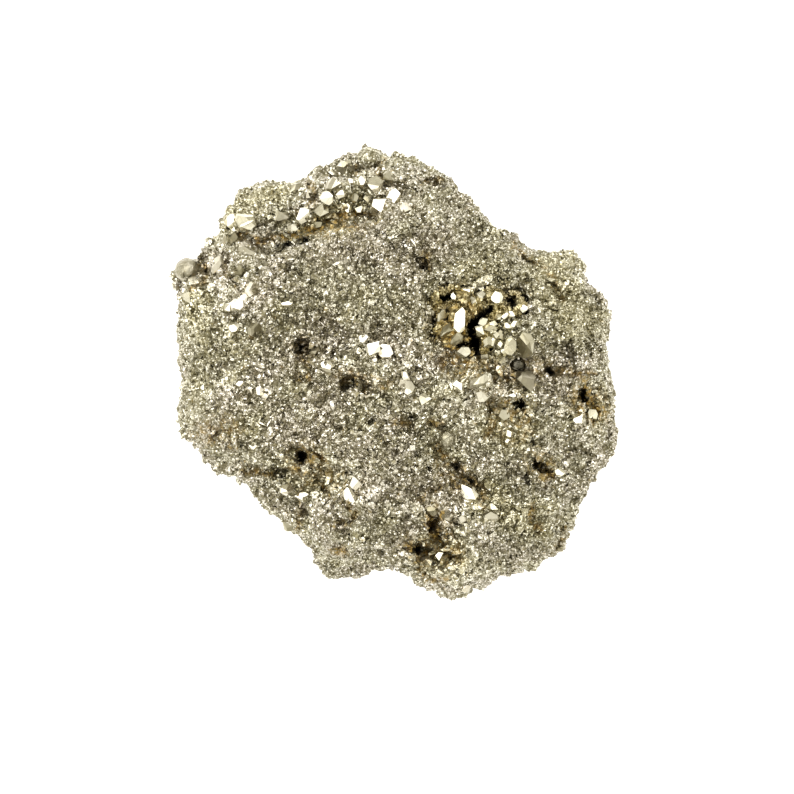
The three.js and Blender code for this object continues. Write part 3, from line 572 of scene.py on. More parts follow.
def cell_random(cells: np.ndarray, use: int) -> np.ndarray:
    """Gives every cell of a grid in space a random number for one use.

    Args:
        cells: whole-number cell places, as an array of three columns.
        use: which of a cell's numbers is wanted.

    Returns:
        Numbers from 0 to 1, one for each row.
    """
    # The large odd numbers have no meaning: they only stir the bits
    mask = 0xFFFFFFFF
    mixed = (cells[:, 0] * 73856093) ^ (cells[:, 1] * 19349663) ^ (cells[:, 2] * 83492791)
    mixed = (mixed ^ ((use + 1) * 2654435761)) & mask
    mixed = ((mixed ^ (mixed >> 15)) * 2246822519) & mask
    mixed = ((mixed ^ (mixed >> 13)) * 3266489917) & mask
    return (mixed ^ (mixed >> 16)) / mask


def nearest_cells(points: np.ndarray, size: float, seed: int) -> tuple[np.ndarray, np.ndarray]:
    """Finds the nearest cell to each place, in a grid whose cells have their middles shifted at random.

    Args:
        points: places, as an array of three columns.
        size: the cells' usual size.
        seed: what sets this grid apart from the others.

    Returns:
        The cell of each place, and the way to the place from that cell's middle.
    """
    home = np.floor(points / size).astype(np.int64)
    nearest = np.full(len(points), np.inf)
    owners = np.zeros_like(home)
    ways = np.zeros_like(points)
    for step in np.ndindex(3, 3, 3):
        cells = home + np.array(step) - 1
        inner = np.stack([cell_random(cells, seed + axis) for axis in range(3)], axis=1)
        away = points - (cells + inner) * size
        distance = np.einsum("ij,ij->i", away, away)
        closer = distance < nearest
        nearest[closer] = distance[closer]
        owners[closer] = cells[closer]
        ways[closer] = away[closer]
    return owners, ways


def block_heights(points: np.ndarray, size: float, levels: float, tilt: float, seed: int) -> np.ndarray:
    """Breaks space into angular blocks, each with a level and a tilt of its own.

    Args:
        points: places, as an array of three columns.
        size: the blocks' usual size.
        levels: the spread of their levels.
        tilt: the steepest slope of their faces along each axis.
        seed: what sets this kind of block apart from the others.

    Returns:
        The height of the block's face at each place.
    """
    cells, ways = nearest_cells(points, size, seed)
    slopes = np.stack([cell_random(cells, seed + 3 + axis) - 0.5 for axis in range(3)], axis=1)
    return levels * (cell_random(cells, seed + 6) - 0.5) + 2 * tilt * np.einsum("ij,ij->i", ways, slopes)


def stacked_blocks(
    points: np.ndarray, kinds: Sequence[tuple[float, float, float]], seed: int
) -> np.ndarray:
    """Adds up the heights of several kinds of block.

    Args:
        points: places, as an array of three columns.
        kinds: each kind's size and spread of levels in millimetres, and its tilt.
        seed: what sets these kinds apart from others.

    Returns:
        The height at each place, in metres.
    """
    return sum(
        block_heights(points, size * MM, levels * MM, tilt, seed + 10 * k)
        for k, (size, levels, tilt) in enumerate(kinds)
    )


@dataclass(frozen=True)
class Mounds:
    """Round mounds of one size, all over the rock.

    Attributes:
        size: their usual size in millimetres.
        top: how high they are on the upper faces, in millimetres.
        side: how high they are on the sides, in millimetres.
        seed: what sets them apart from other mounds.
    """

    size: float
    top: float
    side: float
    seed: int

    def shape(self, points: np.ndarray) -> np.ndarray:
        """Tells how far up a mound some places are, from about 1 on top to 0 between."""
        size = self.size * MM
        _, ways = nearest_cells(points, size, self.seed)
        return 1 - np.einsum("ij,ij->i", ways, ways) / (0.5 * size * size)


LARGE_MOUNDS = Mounds(size=3.4, top=0.4, side=0.9, seed=90)
SMALL_MOUNDS = Mounds(size=1.5, top=0.2, side=0.4, seed=100)
# The mounds' usual shape, which is taken as level ground
MOUND_MIDDLE = 0.55


def crease_strength(points: np.ndarray) -> np.ndarray:
    """Tells how strongly the creases lie on some places.

    Args:
        points: places in the frame, as an array of three columns.

    Returns:
        A strength from 0 to 1 for each place.
    """
    upper = points[:, 2] > RIM_LEVEL * MM
    plan = points[upper, :2]
    strength = np.zeros(len(plan))
    for crease in CREASES:
        corners = np.array([in_frame(at) for at in crease.path])
        for start, end in zip(corners, corners[1:]):
            along = end - start
            share = np.clip((plan - start) @ along / (along @ along), 0, 1)
            away = np.linalg.norm(plan - start - share[:, None] * along, axis=1) / (crease.width * MM)
            strength = np.maximum(strength, crease.strength * np.clip(1.6 - away, 0, 1))
    whole = np.zeros(len(points))
    whole[upper] = strength
    return whole


def between_mounds(points: np.ndarray) -> np.ndarray:
    """Tells how deep places lie between the mounds of the rock.

    Args:
        points: places in the frame, as an array of three columns.

    Returns:
        A depth for each place, from 0 for on a mound to 1.
    """
    shapes = (mounds.shape(points) for mounds in (LARGE_MOUNDS, SMALL_MOUNDS))
    large, small = (np.clip((0.5 - shape) / 0.4, 0, 1) for shape in shapes)
    return np.maximum(large, 0.6 * small)


def patch_strength(points: np.ndarray, patches: Sequence[Patch], edge: float) -> np.ndarray:
    """Tells how strongly patches lie on some places.

    Args:
        points: places in the frame, as an array of three columns.
        patches: the patches.
        edge: how soft their edges are, as a share of their half widths.

    Returns:
        A strength from 0 to 1 for each place.
    """
    strength = np.zeros(len(points))
    for patch in patches:
        x, y = in_frame(patch.at)
        angle = math.radians(patch.turn)
        dx = points[:, 0] - x
        dy = points[:, 1] - y
        u = (dx * math.cos(angle) + dy * math.sin(angle)) / (patch.half[0] * MM)
        v = (-dx * math.sin(angle) + dy * math.cos(angle)) / (patch.half[1] * MM)
        reach = np.clip((1 + edge - np.hypot(u, v)) / (2 * edge), 0, 1)
        strength = np.maximum(strength, patch.strength * reach * reach * (3 - 2 * reach))
    return strength * (points[:, 2] > RIM_LEVEL * MM)


def vertex_places(mesh: bpy.types.Mesh) -> np.ndarray:
    """Reads a mesh's vertices.

    Args:
        mesh: the mesh.

    Returns:
        Their places, as an array of three columns.
    """
    places = np.empty(len(mesh.vertices) * 3)
    mesh.vertices.foreach_get("co", places)
    return places.reshape(-1, 3)


def vertex_normals(mesh: bpy.types.Mesh) -> np.ndarray:
    """Reads a mesh's vertex normals.

    Args:
        mesh: the mesh.

    Returns:
        The normals, as an array of three columns.
    """
    normals = np.empty(len(mesh.vertices) * 3)
    mesh.vertex_normals.foreach_get("vector", normals)
    return normals.reshape(-1, 3)


def move_vertices(mesh: bpy.types.Mesh, places: np.ndarray) -> None:
    """Moves a mesh's vertices, none of them past the specimen's own box.

    Args:
        mesh: the mesh.
        places: where they go, as an array of three columns.
    """
    low, high = (np.array(corner) for corner in CAD_BOX)
    mesh.vertices.foreach_set("co", np.clip(places, low, high).ravel())
    mesh.update()


def write_attribute(mesh: bpy.types.Mesh, name: str, values: np.ndarray) -> None:
    """Keeps one number for each vertex under a name that materials can read.

    Args:
        mesh: the mesh.
        name: the name, whose old numbers are replaced where it has some.
        values: the numbers.
    """
    attribute = mesh.attributes.get(name) or mesh.attributes.new(name, "FLOAT", "POINT")
    attribute.data.foreach_set("value", values.astype(np.float32))


def patch_relief(places: np.ndarray) -> np.ndarray:
    """Tells how pale and raised, or how dull and sunken, some places are, from 1 to -1."""
    return patch_strength(places, PALE, STAIN_EDGE) - patch_strength(places, DULL, STAIN_EDGE)


# How black the painted shade in the strongest creases is
CREASE_PAINTED_SHADE = 0.62


def write_stains(mesh: bpy.types.Mesh, exposed: np.ndarray | float = 0.0) -> None:
    """Keeps how rusty, how dark with painted shade, how yellow, coarse and calm each vertex of a mesh is.

    Args:
        mesh: the mesh.
        exposed: how far each vertex stands out of the rust, from 0 to 1.
    """
    places = vertex_places(mesh)
    # Stains are read a little beside each place, further off in some small blocks, which frays their edges
    ragged = block_heights(places, 0.8 * MM, 1.0 * MM, 0.0, 311)
    shifted = places + ragged[:, None] * np.array([0.6, -0.6, 0.0])
    frayed = block_heights(places, 0.32 * MM, 0.5 * MM, 0.0, 331)
    edged = places + frayed[:, None] * np.array([0.7, 0.7, 0.0])
    creased = crease_strength(edged)
    rust = patch_strength(shifted, RUST, STAIN_EDGE) * (0.6 + 0.4 * between_mounds(places))
    write_attribute(mesh, "rust", np.maximum(rust * (1 - 0.5 * exposed), creased))
    # Painted shade: holes and creases are coloured black, standing in for the shade that falls in them
    hole_shade = np.minimum(1.5 * patch_strength(edged, HOLES, HOLE_EDGE), 1)
    write_attribute(mesh, "dark", np.maximum(hole_shade, CREASE_PAINTED_SHADE * creased * creased))
    write_attribute(mesh, "warm", patch_strength(shifted, WARM, STAIN_EDGE))
    write_attribute(mesh, "coarse", patch_strength(shifted, COARSE, COARSE_EDGE))
    write_attribute(mesh, "calm", patch_strength(shifted, CALM, CALM_EDGE))


@dataclass(frozen=True)
class Look:
    """A finished material and the name of the slot that it stands for."""

    material: bpy.types.Material
    slot: str


def new_piece(name: str, mesh: bpy.types.Mesh, look: Look) -> bpy.types.Object:
    """Makes an object of a finished mesh.

    Args:
        name: the piece's name.
        mesh: its mesh, with its place in it.
        look: its material and slot.

    Returns:
        The object, riding on the specimen's one body.
    """
    piece = bpy.data.objects.new(name, mesh)
    bpy.context.scene.collection.objects.link(piece)
    mesh.materials.clear()
    mesh.materials.append(look.material)
    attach(piece, "root")
    LOG.info("%s: %d vertices, %d faces", name, len(mesh.vertices), len(mesh.polygons))
    return piece


def remeshed(node: str, voxel: float, smoothing: int) -> bpy.types.Mesh:
    """Copies a node's solid as a fine even mesh.

    Args:
        node: the node's name.
        voxel: the width of the new mesh's faces, in metres.
        smoothing: how many times its vertices are evened out.

    Returns:
        The new mesh.
    """
    shape = bmesh.new()
    shape.from_mesh(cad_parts[node].data)
    bmesh.ops.remove_doubles(shape, verts=shape.verts, dist=1e-6)
    coarse = bpy.data.meshes.new(f"{node}_copy")
    shape.to_mesh(coarse)
    shape.free()
    carrier = bpy.data.objects.new(f"{node}_copy", coarse)
    bpy.context.scene.collection.objects.link(carrier)
    remesh = carrier.modifiers.new("fine", "REMESH")
    remesh.mode = "VOXEL"
    remesh.voxel_size = voxel
    fine = bpy.data.meshes.new_from_object(carrier.evaluated_get(bpy.context.evaluated_depsgraph_get()))
    bpy.data.objects.remove(carrier)
    bpy.data.meshes.remove(coarse)
    shape = bmesh.new()
    shape.from_mesh(fine)
    for _ in range(smoothing):
        bmesh.ops.smooth_vert(
            shape, verts=shape.verts, factor=0.5, use_axis_x=True, use_axis_y=True, use_axis_z=True
        )
    shape.to_mesh(fine)
    shape.free()
    return fine


# The sizes that make an octahedron and a pyritohedron about 1 across
OCTAHEDRON_RADIUS = 0.74
PYRITOHEDRON_RADIUS = 0.72
# The heights of a block's rings of corners and how far out they lie
BLOCK_TOP = 0.24
BLOCK_RINGS = ((BLOCK_TOP, 0.43), (0.02, 0.52), (-0.45, 0.4))


def crystal_shape(habit: Habit, seed: int = 0) -> bmesh.types.BMesh:
    """Makes a crystal about 1 across, with its leading face up.

    Args:
        habit: its form.
        seed: what sets an irregular form apart.

    Returns:
        The shape, for the caller to free.
    """
    if habit is Habit.BLOCK:
        return block_shape(seed)
    shape = bmesh.new()
    if habit is Habit.CUBE:
        bmesh.ops.create_cube(shape, size=1)
    elif habit is Habit.OCTAHEDRON:
        bmesh.ops.create_uvsphere(shape, u_segments=4, v_segments=2, radius=OCTAHEDRON_RADIUS)
        leading = Vector((1, 1, 1)).rotation_difference(Vector((0, 0, 1)))
        bmesh.ops.rotate(shape, verts=shape.verts, matrix=leading.to_matrix())
    else:
        bmesh.ops.create_icosphere(shape, subdivisions=1, radius=PYRITOHEDRON_RADIUS)
        shape.verts.ensure_lookup_table()
        leading = shape.verts[0].co.rotation_difference(Vector((0, 0, 1)))
        close_hull(shape, [face.calc_center_median() for face in shape.faces])
        bmesh.ops.rotate(shape, verts=shape.verts, matrix=leading.to_matrix())
    bmesh.ops.recalc_face_normals(shape, faces=shape.faces)
    return shape


def close_hull(shape: bmesh.types.BMesh, corners: Sequence[Vector]) -> None:
    """Makes a shape the hull of some corners, with flat faces whole.

    Args:
        shape: the shape, which loses what it held.
        corners: the corners.
    """
    shape.clear()
    for corner in corners:
        shape.verts.new(corner)
    bmesh.ops.convex_hull(shape, input=shape.verts)
    spare = [vertex for vertex in shape.verts if not vertex.link_faces]
    bmesh.ops.delete(shape, geom=spare, context="VERTS")
    bmesh.ops.dissolve_limit(shape, angle_limit=0.02, verts=shape.verts, edges=shape.edges)
    bmesh.ops.recalc_face_normals(shape, faces=shape.faces)


def block_shape(seed: int) -> bmesh.types.BMesh:
    """Makes a block about 1 across with a flat face on top, one or two lesser ones and slanting sides.

    Args:
        seed: what sets this block apart.

    Returns:
        The shape, for the caller to free.
    """
    draw = np.random.default_rng(seed)
    corners = int(draw.integers(4, 8))
    rings = []
    for level, reach in BLOCK_RINGS:
        for k in range(corners):
            angle = 2 * math.pi * (k + draw.uniform(-0.28, 0.28)) / corners
            radius = reach * draw.uniform(0.84, 1.16)
            rings.append(Vector((radius * math.cos(angle), radius * math.sin(angle), level)))
    shape = bmesh.new()
    close_hull(shape, rings)
    for _ in range(int(draw.integers(1, 3))):
        about = draw.uniform(0, 2 * math.pi)
        slope = draw.uniform(0.35, 0.8)
        reach = draw.uniform(0.06, 0.24)
        ahead = math.cos(about)
        aside = math.sin(about)
        bmesh.ops.bisect_plane(
            shape,
            geom=[*shape.verts, *shape.edges, *shape.faces],
            plane_co=(reach * ahead, reach * aside, BLOCK_TOP),
            plane_no=(math.sin(slope) * ahead, math.sin(slope) * aside, math.cos(slope)),
            clear_outer=True,
        )
        close_hull(shape, [vertex.co.copy() for vertex in shape.verts])
    return shape


def grain_shape(seed: int, corners: int) -> bmesh.types.BMesh:
    """Makes an irregular grain about 1 across, as the hull of a few scattered corners.

    Args:
        seed: what sets this grain apart.
        corners: how many corners are scattered.

    Returns:
        The shape, for the caller to free.
    """
    draw = np.random.default_rng(seed)
    shape = bmesh.new()
    for k in range(corners):
        level = 1 - 2 * (k + 0.5) / corners
        round_angle = k * math.pi * (3 - math.sqrt(5)) + draw.uniform(-0.5, 0.5)
        reach = math.sqrt(1 - level * level)
        corner = Vector((reach * math.cos(round_angle), reach * math.sin(round_angle), level))
        shape.verts.new(corner * 0.5 * draw.uniform(0.8, 1.2))
    bmesh.ops.convex_hull(shape, input=shape.verts)
    bmesh.ops.recalc_face_normals(shape, faces=shape.faces)
    return shape


@dataclass
class Scatter:
    """Places for many small shapes on a surface.

    Attributes:
        places: their middles, one row each.
        turns: a rotation matrix for each.
        sizes: their sizes.
        tones: how bright each is, from 0 to 1.
    """

    places: np.ndarray
    turns: np.ndarray
    sizes: np.ndarray
    tones: np.ndarray


def matrices(quaternions: np.ndarray) -> np.ndarray:
    """Turns quaternions into rotation matrices.

    Args:
        quaternions: rows of four numbers, of any length but none.

    Returns:
        A matrix for each row.
    """
    w, x, y, z = (quaternions / np.linalg.norm(quaternions, axis=1, keepdims=True)).T
    rows = [
        [1 - 2 * (y * y + z * z), 2 * (x * y - z * w), 2 * (x * z + y * w)],
        [2 * (x * y + z * w), 1 - 2 * (x * x + z * z), 2 * (y * z - x * w)],
        [2 * (x * z - y * w), 2 * (y * z + x * w), 1 - 2 * (x * x + y * y)],
    ]
    return np.array(rows).transpose(2, 0, 1)


def upright_turns(facing: np.ndarray, draw: np.random.Generator) -> np.ndarray:
    """Makes rotation matrices that bring +Z to given directions, spun at random.

    Args:
        facing: the directions, one row each.
        draw: the source of random numbers.

    Returns:
        The matrices.
    """
    up = facing / np.linalg.norm(facing, axis=1, keepdims=True)
    side = np.cross(up, draw.normal(size=up.shape))
    side /= np.linalg.norm(side, axis=1, keepdims=True)
    return np.stack([side, np.cross(up, side), up], axis=2)


def joined_copies(name: str, shapes: Sequence[bmesh.types.BMesh], scatter: Scatter) -> bpy.types.Mesh:
    """Joins many turned and scaled copies of a few shapes in one mesh.

    Args:
        name: the mesh's name.
        shapes: the shapes, which are used in turn.
        scatter: where each copy goes.

    Returns:
        The mesh, with each copy's tone kept on its vertices.
    """
    corners: list[np.ndarray] = []
    faces: list[tuple[int, ...]] = []
    tones: list[np.ndarray] = []
    first = 0
    for k, shape in enumerate(shapes):
        shape.verts.ensure_lookup_table()
        shape.verts.index_update()
        pattern = np.array([vertex.co for vertex in shape.verts])
        loops = [[vertex.index for vertex in face.verts] for face in shape.faces]
        chosen = slice(k, None, len(shapes))
        turned = np.einsum("nij,vj->nvi", scatter.turns[chosen], pattern)
        placed = turned * scatter.sizes[chosen, None, None] + scatter.places[chosen, None, :]
        corners.append(placed.reshape(-1, 3))
        tones.append(np.repeat(scatter.tones[chosen], len(pattern)))
        for start in range(first, first + len(placed) * len(pattern), len(pattern)):
            faces.extend(tuple(start + index for index in loop) for loop in loops)
        first += len(placed) * len(pattern)
    mesh = bpy.data.meshes.new(name)
    mesh.from_pydata(np.concatenate(corners).tolist(), [], faces)
    mesh.update()
    move_vertices(mesh, vertex_places(mesh))
    write_attribute(mesh, "tone", np.concatenate(tones))
    write_stains(mesh, np.concatenate(tones))
    return mesh


@dataclass(frozen=True)
class GrainKind:
    """One kind of grain in the coat.

    Attributes:
        name: the name of its piece.
        shapes: how many different shapes it has.
        form: their form, or the number of corners of grains with no form of their own.
        count: how many grains there are.
        sizes: the smallest and the largest, in millimetres.
        sunk: how far a grain's middle lies under the skin, as a share of its size.
        gathered: how many times as dense they are in the coarse patches.
        lean: how loosely their leading faces follow the skin, or None for any way at all.
        tone_spread: how much the tones of neighbours differ.
    """

    name: str
    shapes: int
    form: Habit | int
    count: int
    sizes: tuple[float, float]
    sunk: float
    gathered: float = 1.0
    lean: float | None = None
    tone_spread: float = 0.12

    def patterns(self) -> list[bmesh.types.BMesh]:
        """Makes the shapes, the later ones longer than the first.

        Returns:
            The shapes, for the caller to free.
        """
        if isinstance(self.form, Habit):
            shapes = [crystal_shape(self.form, k + self.count) for k in range(self.shapes)]
        else:
            shapes = [grain_shape(k + self.count, self.form) for k in range(self.shapes)]
        for k, shape in enumerate(shapes):
            longer = 1 + LONGEST * k / len(shapes)
            bmesh.ops.scale(shape, vec=(longer, 1 / longer, 1), verts=shape.verts)
        return shapes


# How much longer the later shapes of a kind get
LONGEST = 0.7

# The kinds of grain on the rock, and those in the hollow
ROCK_GRAINS = (
    GrainKind("grains_fine", 8, 6, 24000, (0.2, 0.5), 0.2, 0.5),
    GrainKind("grains_coarse", 8, 8, 6000, (0.45, 1.1), 0.3, 1.5),
    GrainKind("grains_cubic", 1, Habit.CUBE, 8000, (0.25, 0.7), 0.3),
    GrainKind("grains_octahedral", 1, Habit.OCTAHEDRON, 10000, (0.25, 0.7), 0.3),
    GrainKind("grains_pyritohedral", 1, Habit.PYRITOHEDRON, 1500, (0.6, 1.4), 0.32, 4.0),
    GrainKind("grains_blocky", 12, Habit.BLOCK, 4400, (0.7, 2.0), 0.14, 8.0, 0.3, 0.2),
)
HOLLOW_GRAINS = (
    GrainKind("hollow_grains_blocky", 8, Habit.BLOCK, 420, (0.5, 1.3), 0.15, 1.0, 0.5, 0.25),
    GrainKind("hollow_grains_fine", 8, 7, 1500, (0.25, 0.6), 0.2),
)

# Clumps of grains of about the same tone and turn: their sizes in millimetres and spreads of tone
LARGE_CLUMP = 2.1
SMALL_CLUMP = 0.9
LARGE_CLUMP_SPREAD = 0.18
SMALL_CLUMP_SPREAD = 0.26
CLUMP_LEAN = 0.7
# A grain's usual tone, and how much darker painted shade makes it on the sides and between the mounds
USUAL_TONE = 0.74
SIDE_PAINTED_SHADE = 0.32
BETWEEN_MOUNDS_PAINTED_SHADE = 0.22
# How much brighter it is on the pale patches, and duller on the dull ones
PATCH_TONE = 0.1
# How much smaller grains are on the sides and in calm patches, and how much deeper on the sides
SIDE_SHRINKING = 0.62
CALM_SHRINKING = 0.35
SIDE_SINKING = 0.48
# How far grains lie from the middles of the faces that they are drawn for, in millimetres
GRAIN_JITTER = 0.1


def clump_tones(places: np.ndarray) -> np.ndarray:
    """Tells how much brighter or duller than others the clumps at some places are."""
    large = block_heights(places, LARGE_CLUMP * MM, LARGE_CLUMP_SPREAD, 0.0, 801)
    return large + block_heights(places, SMALL_CLUMP * MM, SMALL_CLUMP_SPREAD, 0.0, 811)


def clump_leans(places: np.ndarray) -> np.ndarray:
    """Tells which way the clumps at some places lean, as an array of three columns."""
    leans = [block_heights(places, SMALL_CLUMP * MM, CLUMP_LEAN, 0.0, seed) for seed in (901, 911, 921)]
    return np.stack(leans, axis=1)


def scattered(mesh: bpy.types.Mesh, kind: GrainKind, cleared: Sequence[Patch], seed: int) -> Scatter:
    """Draws places for small grains all over a mesh.

    Args:
        mesh: the mesh that they grow on.
        kind: the kind of grain.
        cleared: where none grow.
        seed: what sets this draw apart.

    Returns:
        The places, with random turns, sizes and tones.
    """
    draw = np.random.default_rng(seed)
    areas = np.empty(len(mesh.polygons))
    mesh.polygons.foreach_get("area", areas)
    centres = np.empty(len(areas) * 3)
    mesh.polygons.foreach_get("center", centres)
    centres = centres.reshape(-1, 3)
    normals = np.empty(len(areas) * 3)
    mesh.polygons.foreach_get("normal", normals)
    normals = normals.reshape(-1, 3)
    coarse = patch_strength(centres, COARSE, COARSE_EDGE)
    hollow = np.maximum(patch_strength(centres, HOLES, HOLE_MOUTH_EDGE), crease_strength(centres))
    bare = np.maximum(hollow, patch_strength(centres, cleared, BARE_EDGE))
    upward = np.clip(normals[:, 2], 0, 1)
    # Upright and overhanging faces have half as many
    weight = areas * (1 + (kind.gathered - 1) * coarse) * (1 - bare)
    weight *= 0.5 + 0.5 * np.clip(upward * 2, 0, 1)
    chosen = draw.choice(len(areas), size=kind.count, p=weight / weight.sum())
    low, high = kind.sizes
    size = (low + (high - low) * draw.beta(1.3, 3.0, kind.count)) * MM
    side = 1 - upward[chosen]
    calm = patch_strength(centres, CALM, CALM_EDGE)[chosen]
    size *= (1 - SIDE_SHRINKING * side) * (1 - CALM_SHRINKING * calm)
    places = centres[chosen] + draw.normal(scale=GRAIN_JITTER * MM, size=(kind.count, 3))
    places -= normals[chosen] * (size * (kind.sunk + SIDE_SINKING * side))[:, None]
    tones = draw.normal(USUAL_TONE, kind.tone_spread, kind.count) + clump_tones(places)
    # Painted shade: grains are made darker on the sides, between the mounds and in the creases
    tones += PATCH_TONE * patch_relief(places) - SIDE_PAINTED_SHADE * side
    tones -= BETWEEN_MOUNDS_PAINTED_SHADE * between_mounds(places) + crease_strength(places)
    if kind.lean is None:
        turns = matrices(draw.normal(size=(kind.count, 4)))
    else:
        loose = draw.normal(scale=kind.lean, size=places.shape)
        turns = upright_turns(normals[chosen] + clump_leans(places) + loose, draw)
    return Scatter(places, turns, size, np.clip(tones, 0, 1))


def socket(group: bpy.types.NodeTree, name: str, kind: str, way: str, default: float | None = None) -> None:
    """Adds a named input or output to a node group.

    Args:
        group: the node group.
        name: the socket's name.
        kind: its type, without the NodeSocket at its front.
        way: INPUT or OUTPUT.
        default: its value where nothing is linked to it.
    """
    made = group.interface.new_socket(name=name, in_out=way, socket_type=f"NodeSocket{kind}")
    if default is not None:
        made.default_value = default


class NodeBuilder:
    """Adds nodes to a tree and links them in one call each."""

    def __init__(self, tree: bpy.types.NodeTree) -> None:
        """Keeps the tree that the nodes go to."""
        self.tree = tree

    def add(self, kind: str, settings: dict[str, object] | None = None, **inputs: object) -> bpy.types.Node:
        """Adds a node.

        Args:
            kind: the node's type, without the ShaderNode at its front.
            settings: its properties.
            inputs: its sockets, by name with _ for a space, or by place as _0, _1 and so on. Each is a
                value or another node's output socket.

        Returns:
            The node.
        """
        node = self.tree.nodes.new(kind if kind.startswith("Node") else f"ShaderNode{kind}")
        for name, value in (settings or {}).items():
            setattr(node, name, value)
        for name, value in inputs.items():
            target = node.inputs[int(name[1:]) if name.startswith("_") else name.replace("_", " ")]
            if isinstance(value, bpy.types.NodeSocket):
                self.tree.links.new(value, target)
            else:
                target.default_value = value
        return node

    def mixed(
        self, factor: object, first: object, second: object, blend: str = "MIX"
    ) -> bpy.types.NodeSocket:
        """Adds a mix of two colours.

        Args:
            factor: how much of the second there is.
            first: the first colour or its socket.
            second: the second colour or its socket.
            blend: how they are mixed.

        Returns:
            Its colour output.
        """
        settings = {"data_type": "RGBA", "blend_type": blend}
        return self.add("Mix", settings, _0=factor, _6=first, _7=second).outputs[2]

    def between(self, factor: object, first: object, second: object) -> bpy.types.NodeSocket:
        """Adds a mix of two numbers, and returns its output."""
        return self.add("Mix", {"data_type": "FLOAT"}, _0=factor, _2=first, _3=second).outputs[0]

    def math(self, operation: str, first: object, second: object) -> bpy.types.NodeSocket:
        """Adds a sum of two numbers that is kept between 0 and 1, and returns its output."""
        return self.add("Math", {"operation": operation, "use_clamp": True}, _0=first, _1=second).outputs[0]

    def spread(
        self, value: bpy.types.NodeSocket, source: tuple[float, float], target: tuple[float, float]
    ) -> bpy.types.NodeSocket:
        """Adds a mapping from one range to another.

        Args:
            value: what is mapped.
            source: the range that it has.
            target: the range that it gets, past which it doesn't go.

        Returns:
            The mapping's output.
        """
        ends = {"From_Min": source[0], "From_Max": source[1], "To_Min": target[0], "To_Max": target[1]}
        return self.add("MapRange", Value=value, **ends).outputs[0]

    def ramp(
        self, factor: bpy.types.NodeSocket, stops: Sequence[tuple[float, tuple[float, float, float]]]
    ) -> bpy.types.NodeSocket:
        """Adds a colour ramp.

        Args:
            factor: what drives it.
            stops: its places and colours.

        Returns:
            Its colour output.
        """
        node = self.add("ValToRGB", Fac=factor)
        elements = node.color_ramp.elements
        while len(elements) < len(stops):
            elements.new(0.5)
        for element, (place, colour) in zip(elements, stops):
            element.position = place
            element.color = (*colour, 1)
        return node.outputs["Color"]


def facet_group() -> bpy.types.NodeTree:
    """Makes the shared group of tiny facets: cells that each lean their own way, with gaps between, whose
    mask the materials darken as painted shade.

    Returns:
        The group.
    """
    group = bpy.data.node_groups.new("tiny facets", "ShaderNodeTree")
    socket(group, "Size", "Float", "INPUT", 0.3)
    socket(group, "Lean", "Float", "INPUT", 0.3)
    socket(group, "Value", "Float", "OUTPUT")
    socket(group, "Gap", "Float", "OUTPUT")
    socket(group, "Normal", "Vector", "OUTPUT")
    build = NodeBuilder(group)
    given = build.add("NodeGroupInput")
    place = build.add("TexCoord").outputs["Object"]
    scale = build.add("Math", {"operation": "DIVIDE"}, _0=1 / MM, _1=given.outputs["Size"]).outputs[0]
    cells = build.add("TexVoronoi", {"feature": "F1"}, Vector=place, Scale=scale)
    borders = build.add("TexVoronoi", {"feature": "DISTANCE_TO_EDGE"}, Vector=place, Scale=scale)
    centred = build.add(
        "VectorMath", {"operation": "SUBTRACT"}, _0=cells.outputs["Color"], _1=(0.5, 0.5, 0.5)
    )
    leaning = build.add(
        "VectorMath", {"operation": "SCALE"}, _0=centred.outputs[0], Scale=given.outputs["Lean"]
    )
    normal = build.add("NewGeometry").outputs["Normal"]
    summed = build.add("VectorMath", {"operation": "ADD"}, _0=normal, _1=leaning.outputs[0])
    straight = build.add("VectorMath", {"operation": "NORMALIZE"}, _0=summed.outputs[0])
    value = build.add("SeparateColor", Color=cells.outputs["Color"]).outputs[0]
    given_back = build.add("NodeGroupOutput")
    group.links.new(value, given_back.inputs["Value"])
    group.links.new(build.spread(borders.outputs[0], (0.02, 0.22), (1.0, 0.0)), given_back.inputs["Gap"])
    group.links.new(straight.outputs[0], given_back.inputs["Normal"])
    return group


# The tint's shades from the coolest to the warmest, the rust's from the deepest, and the black that is
# painted shade in holes and creases and also the dark knobs' own black
TINTS = ((0.34, (1.0, 0.965, 0.97)), (0.5, (0.99, 0.985, 0.92)), (0.66, (0.98, 0.955, 0.78)))
BROWNS = ((0.42, (0.1, 0.065, 0.012)), (0.64, (0.46, 0.295, 0.065)))
SHADE_AND_KNOB_BLACK = (0.004, 0.0035, 0.002)


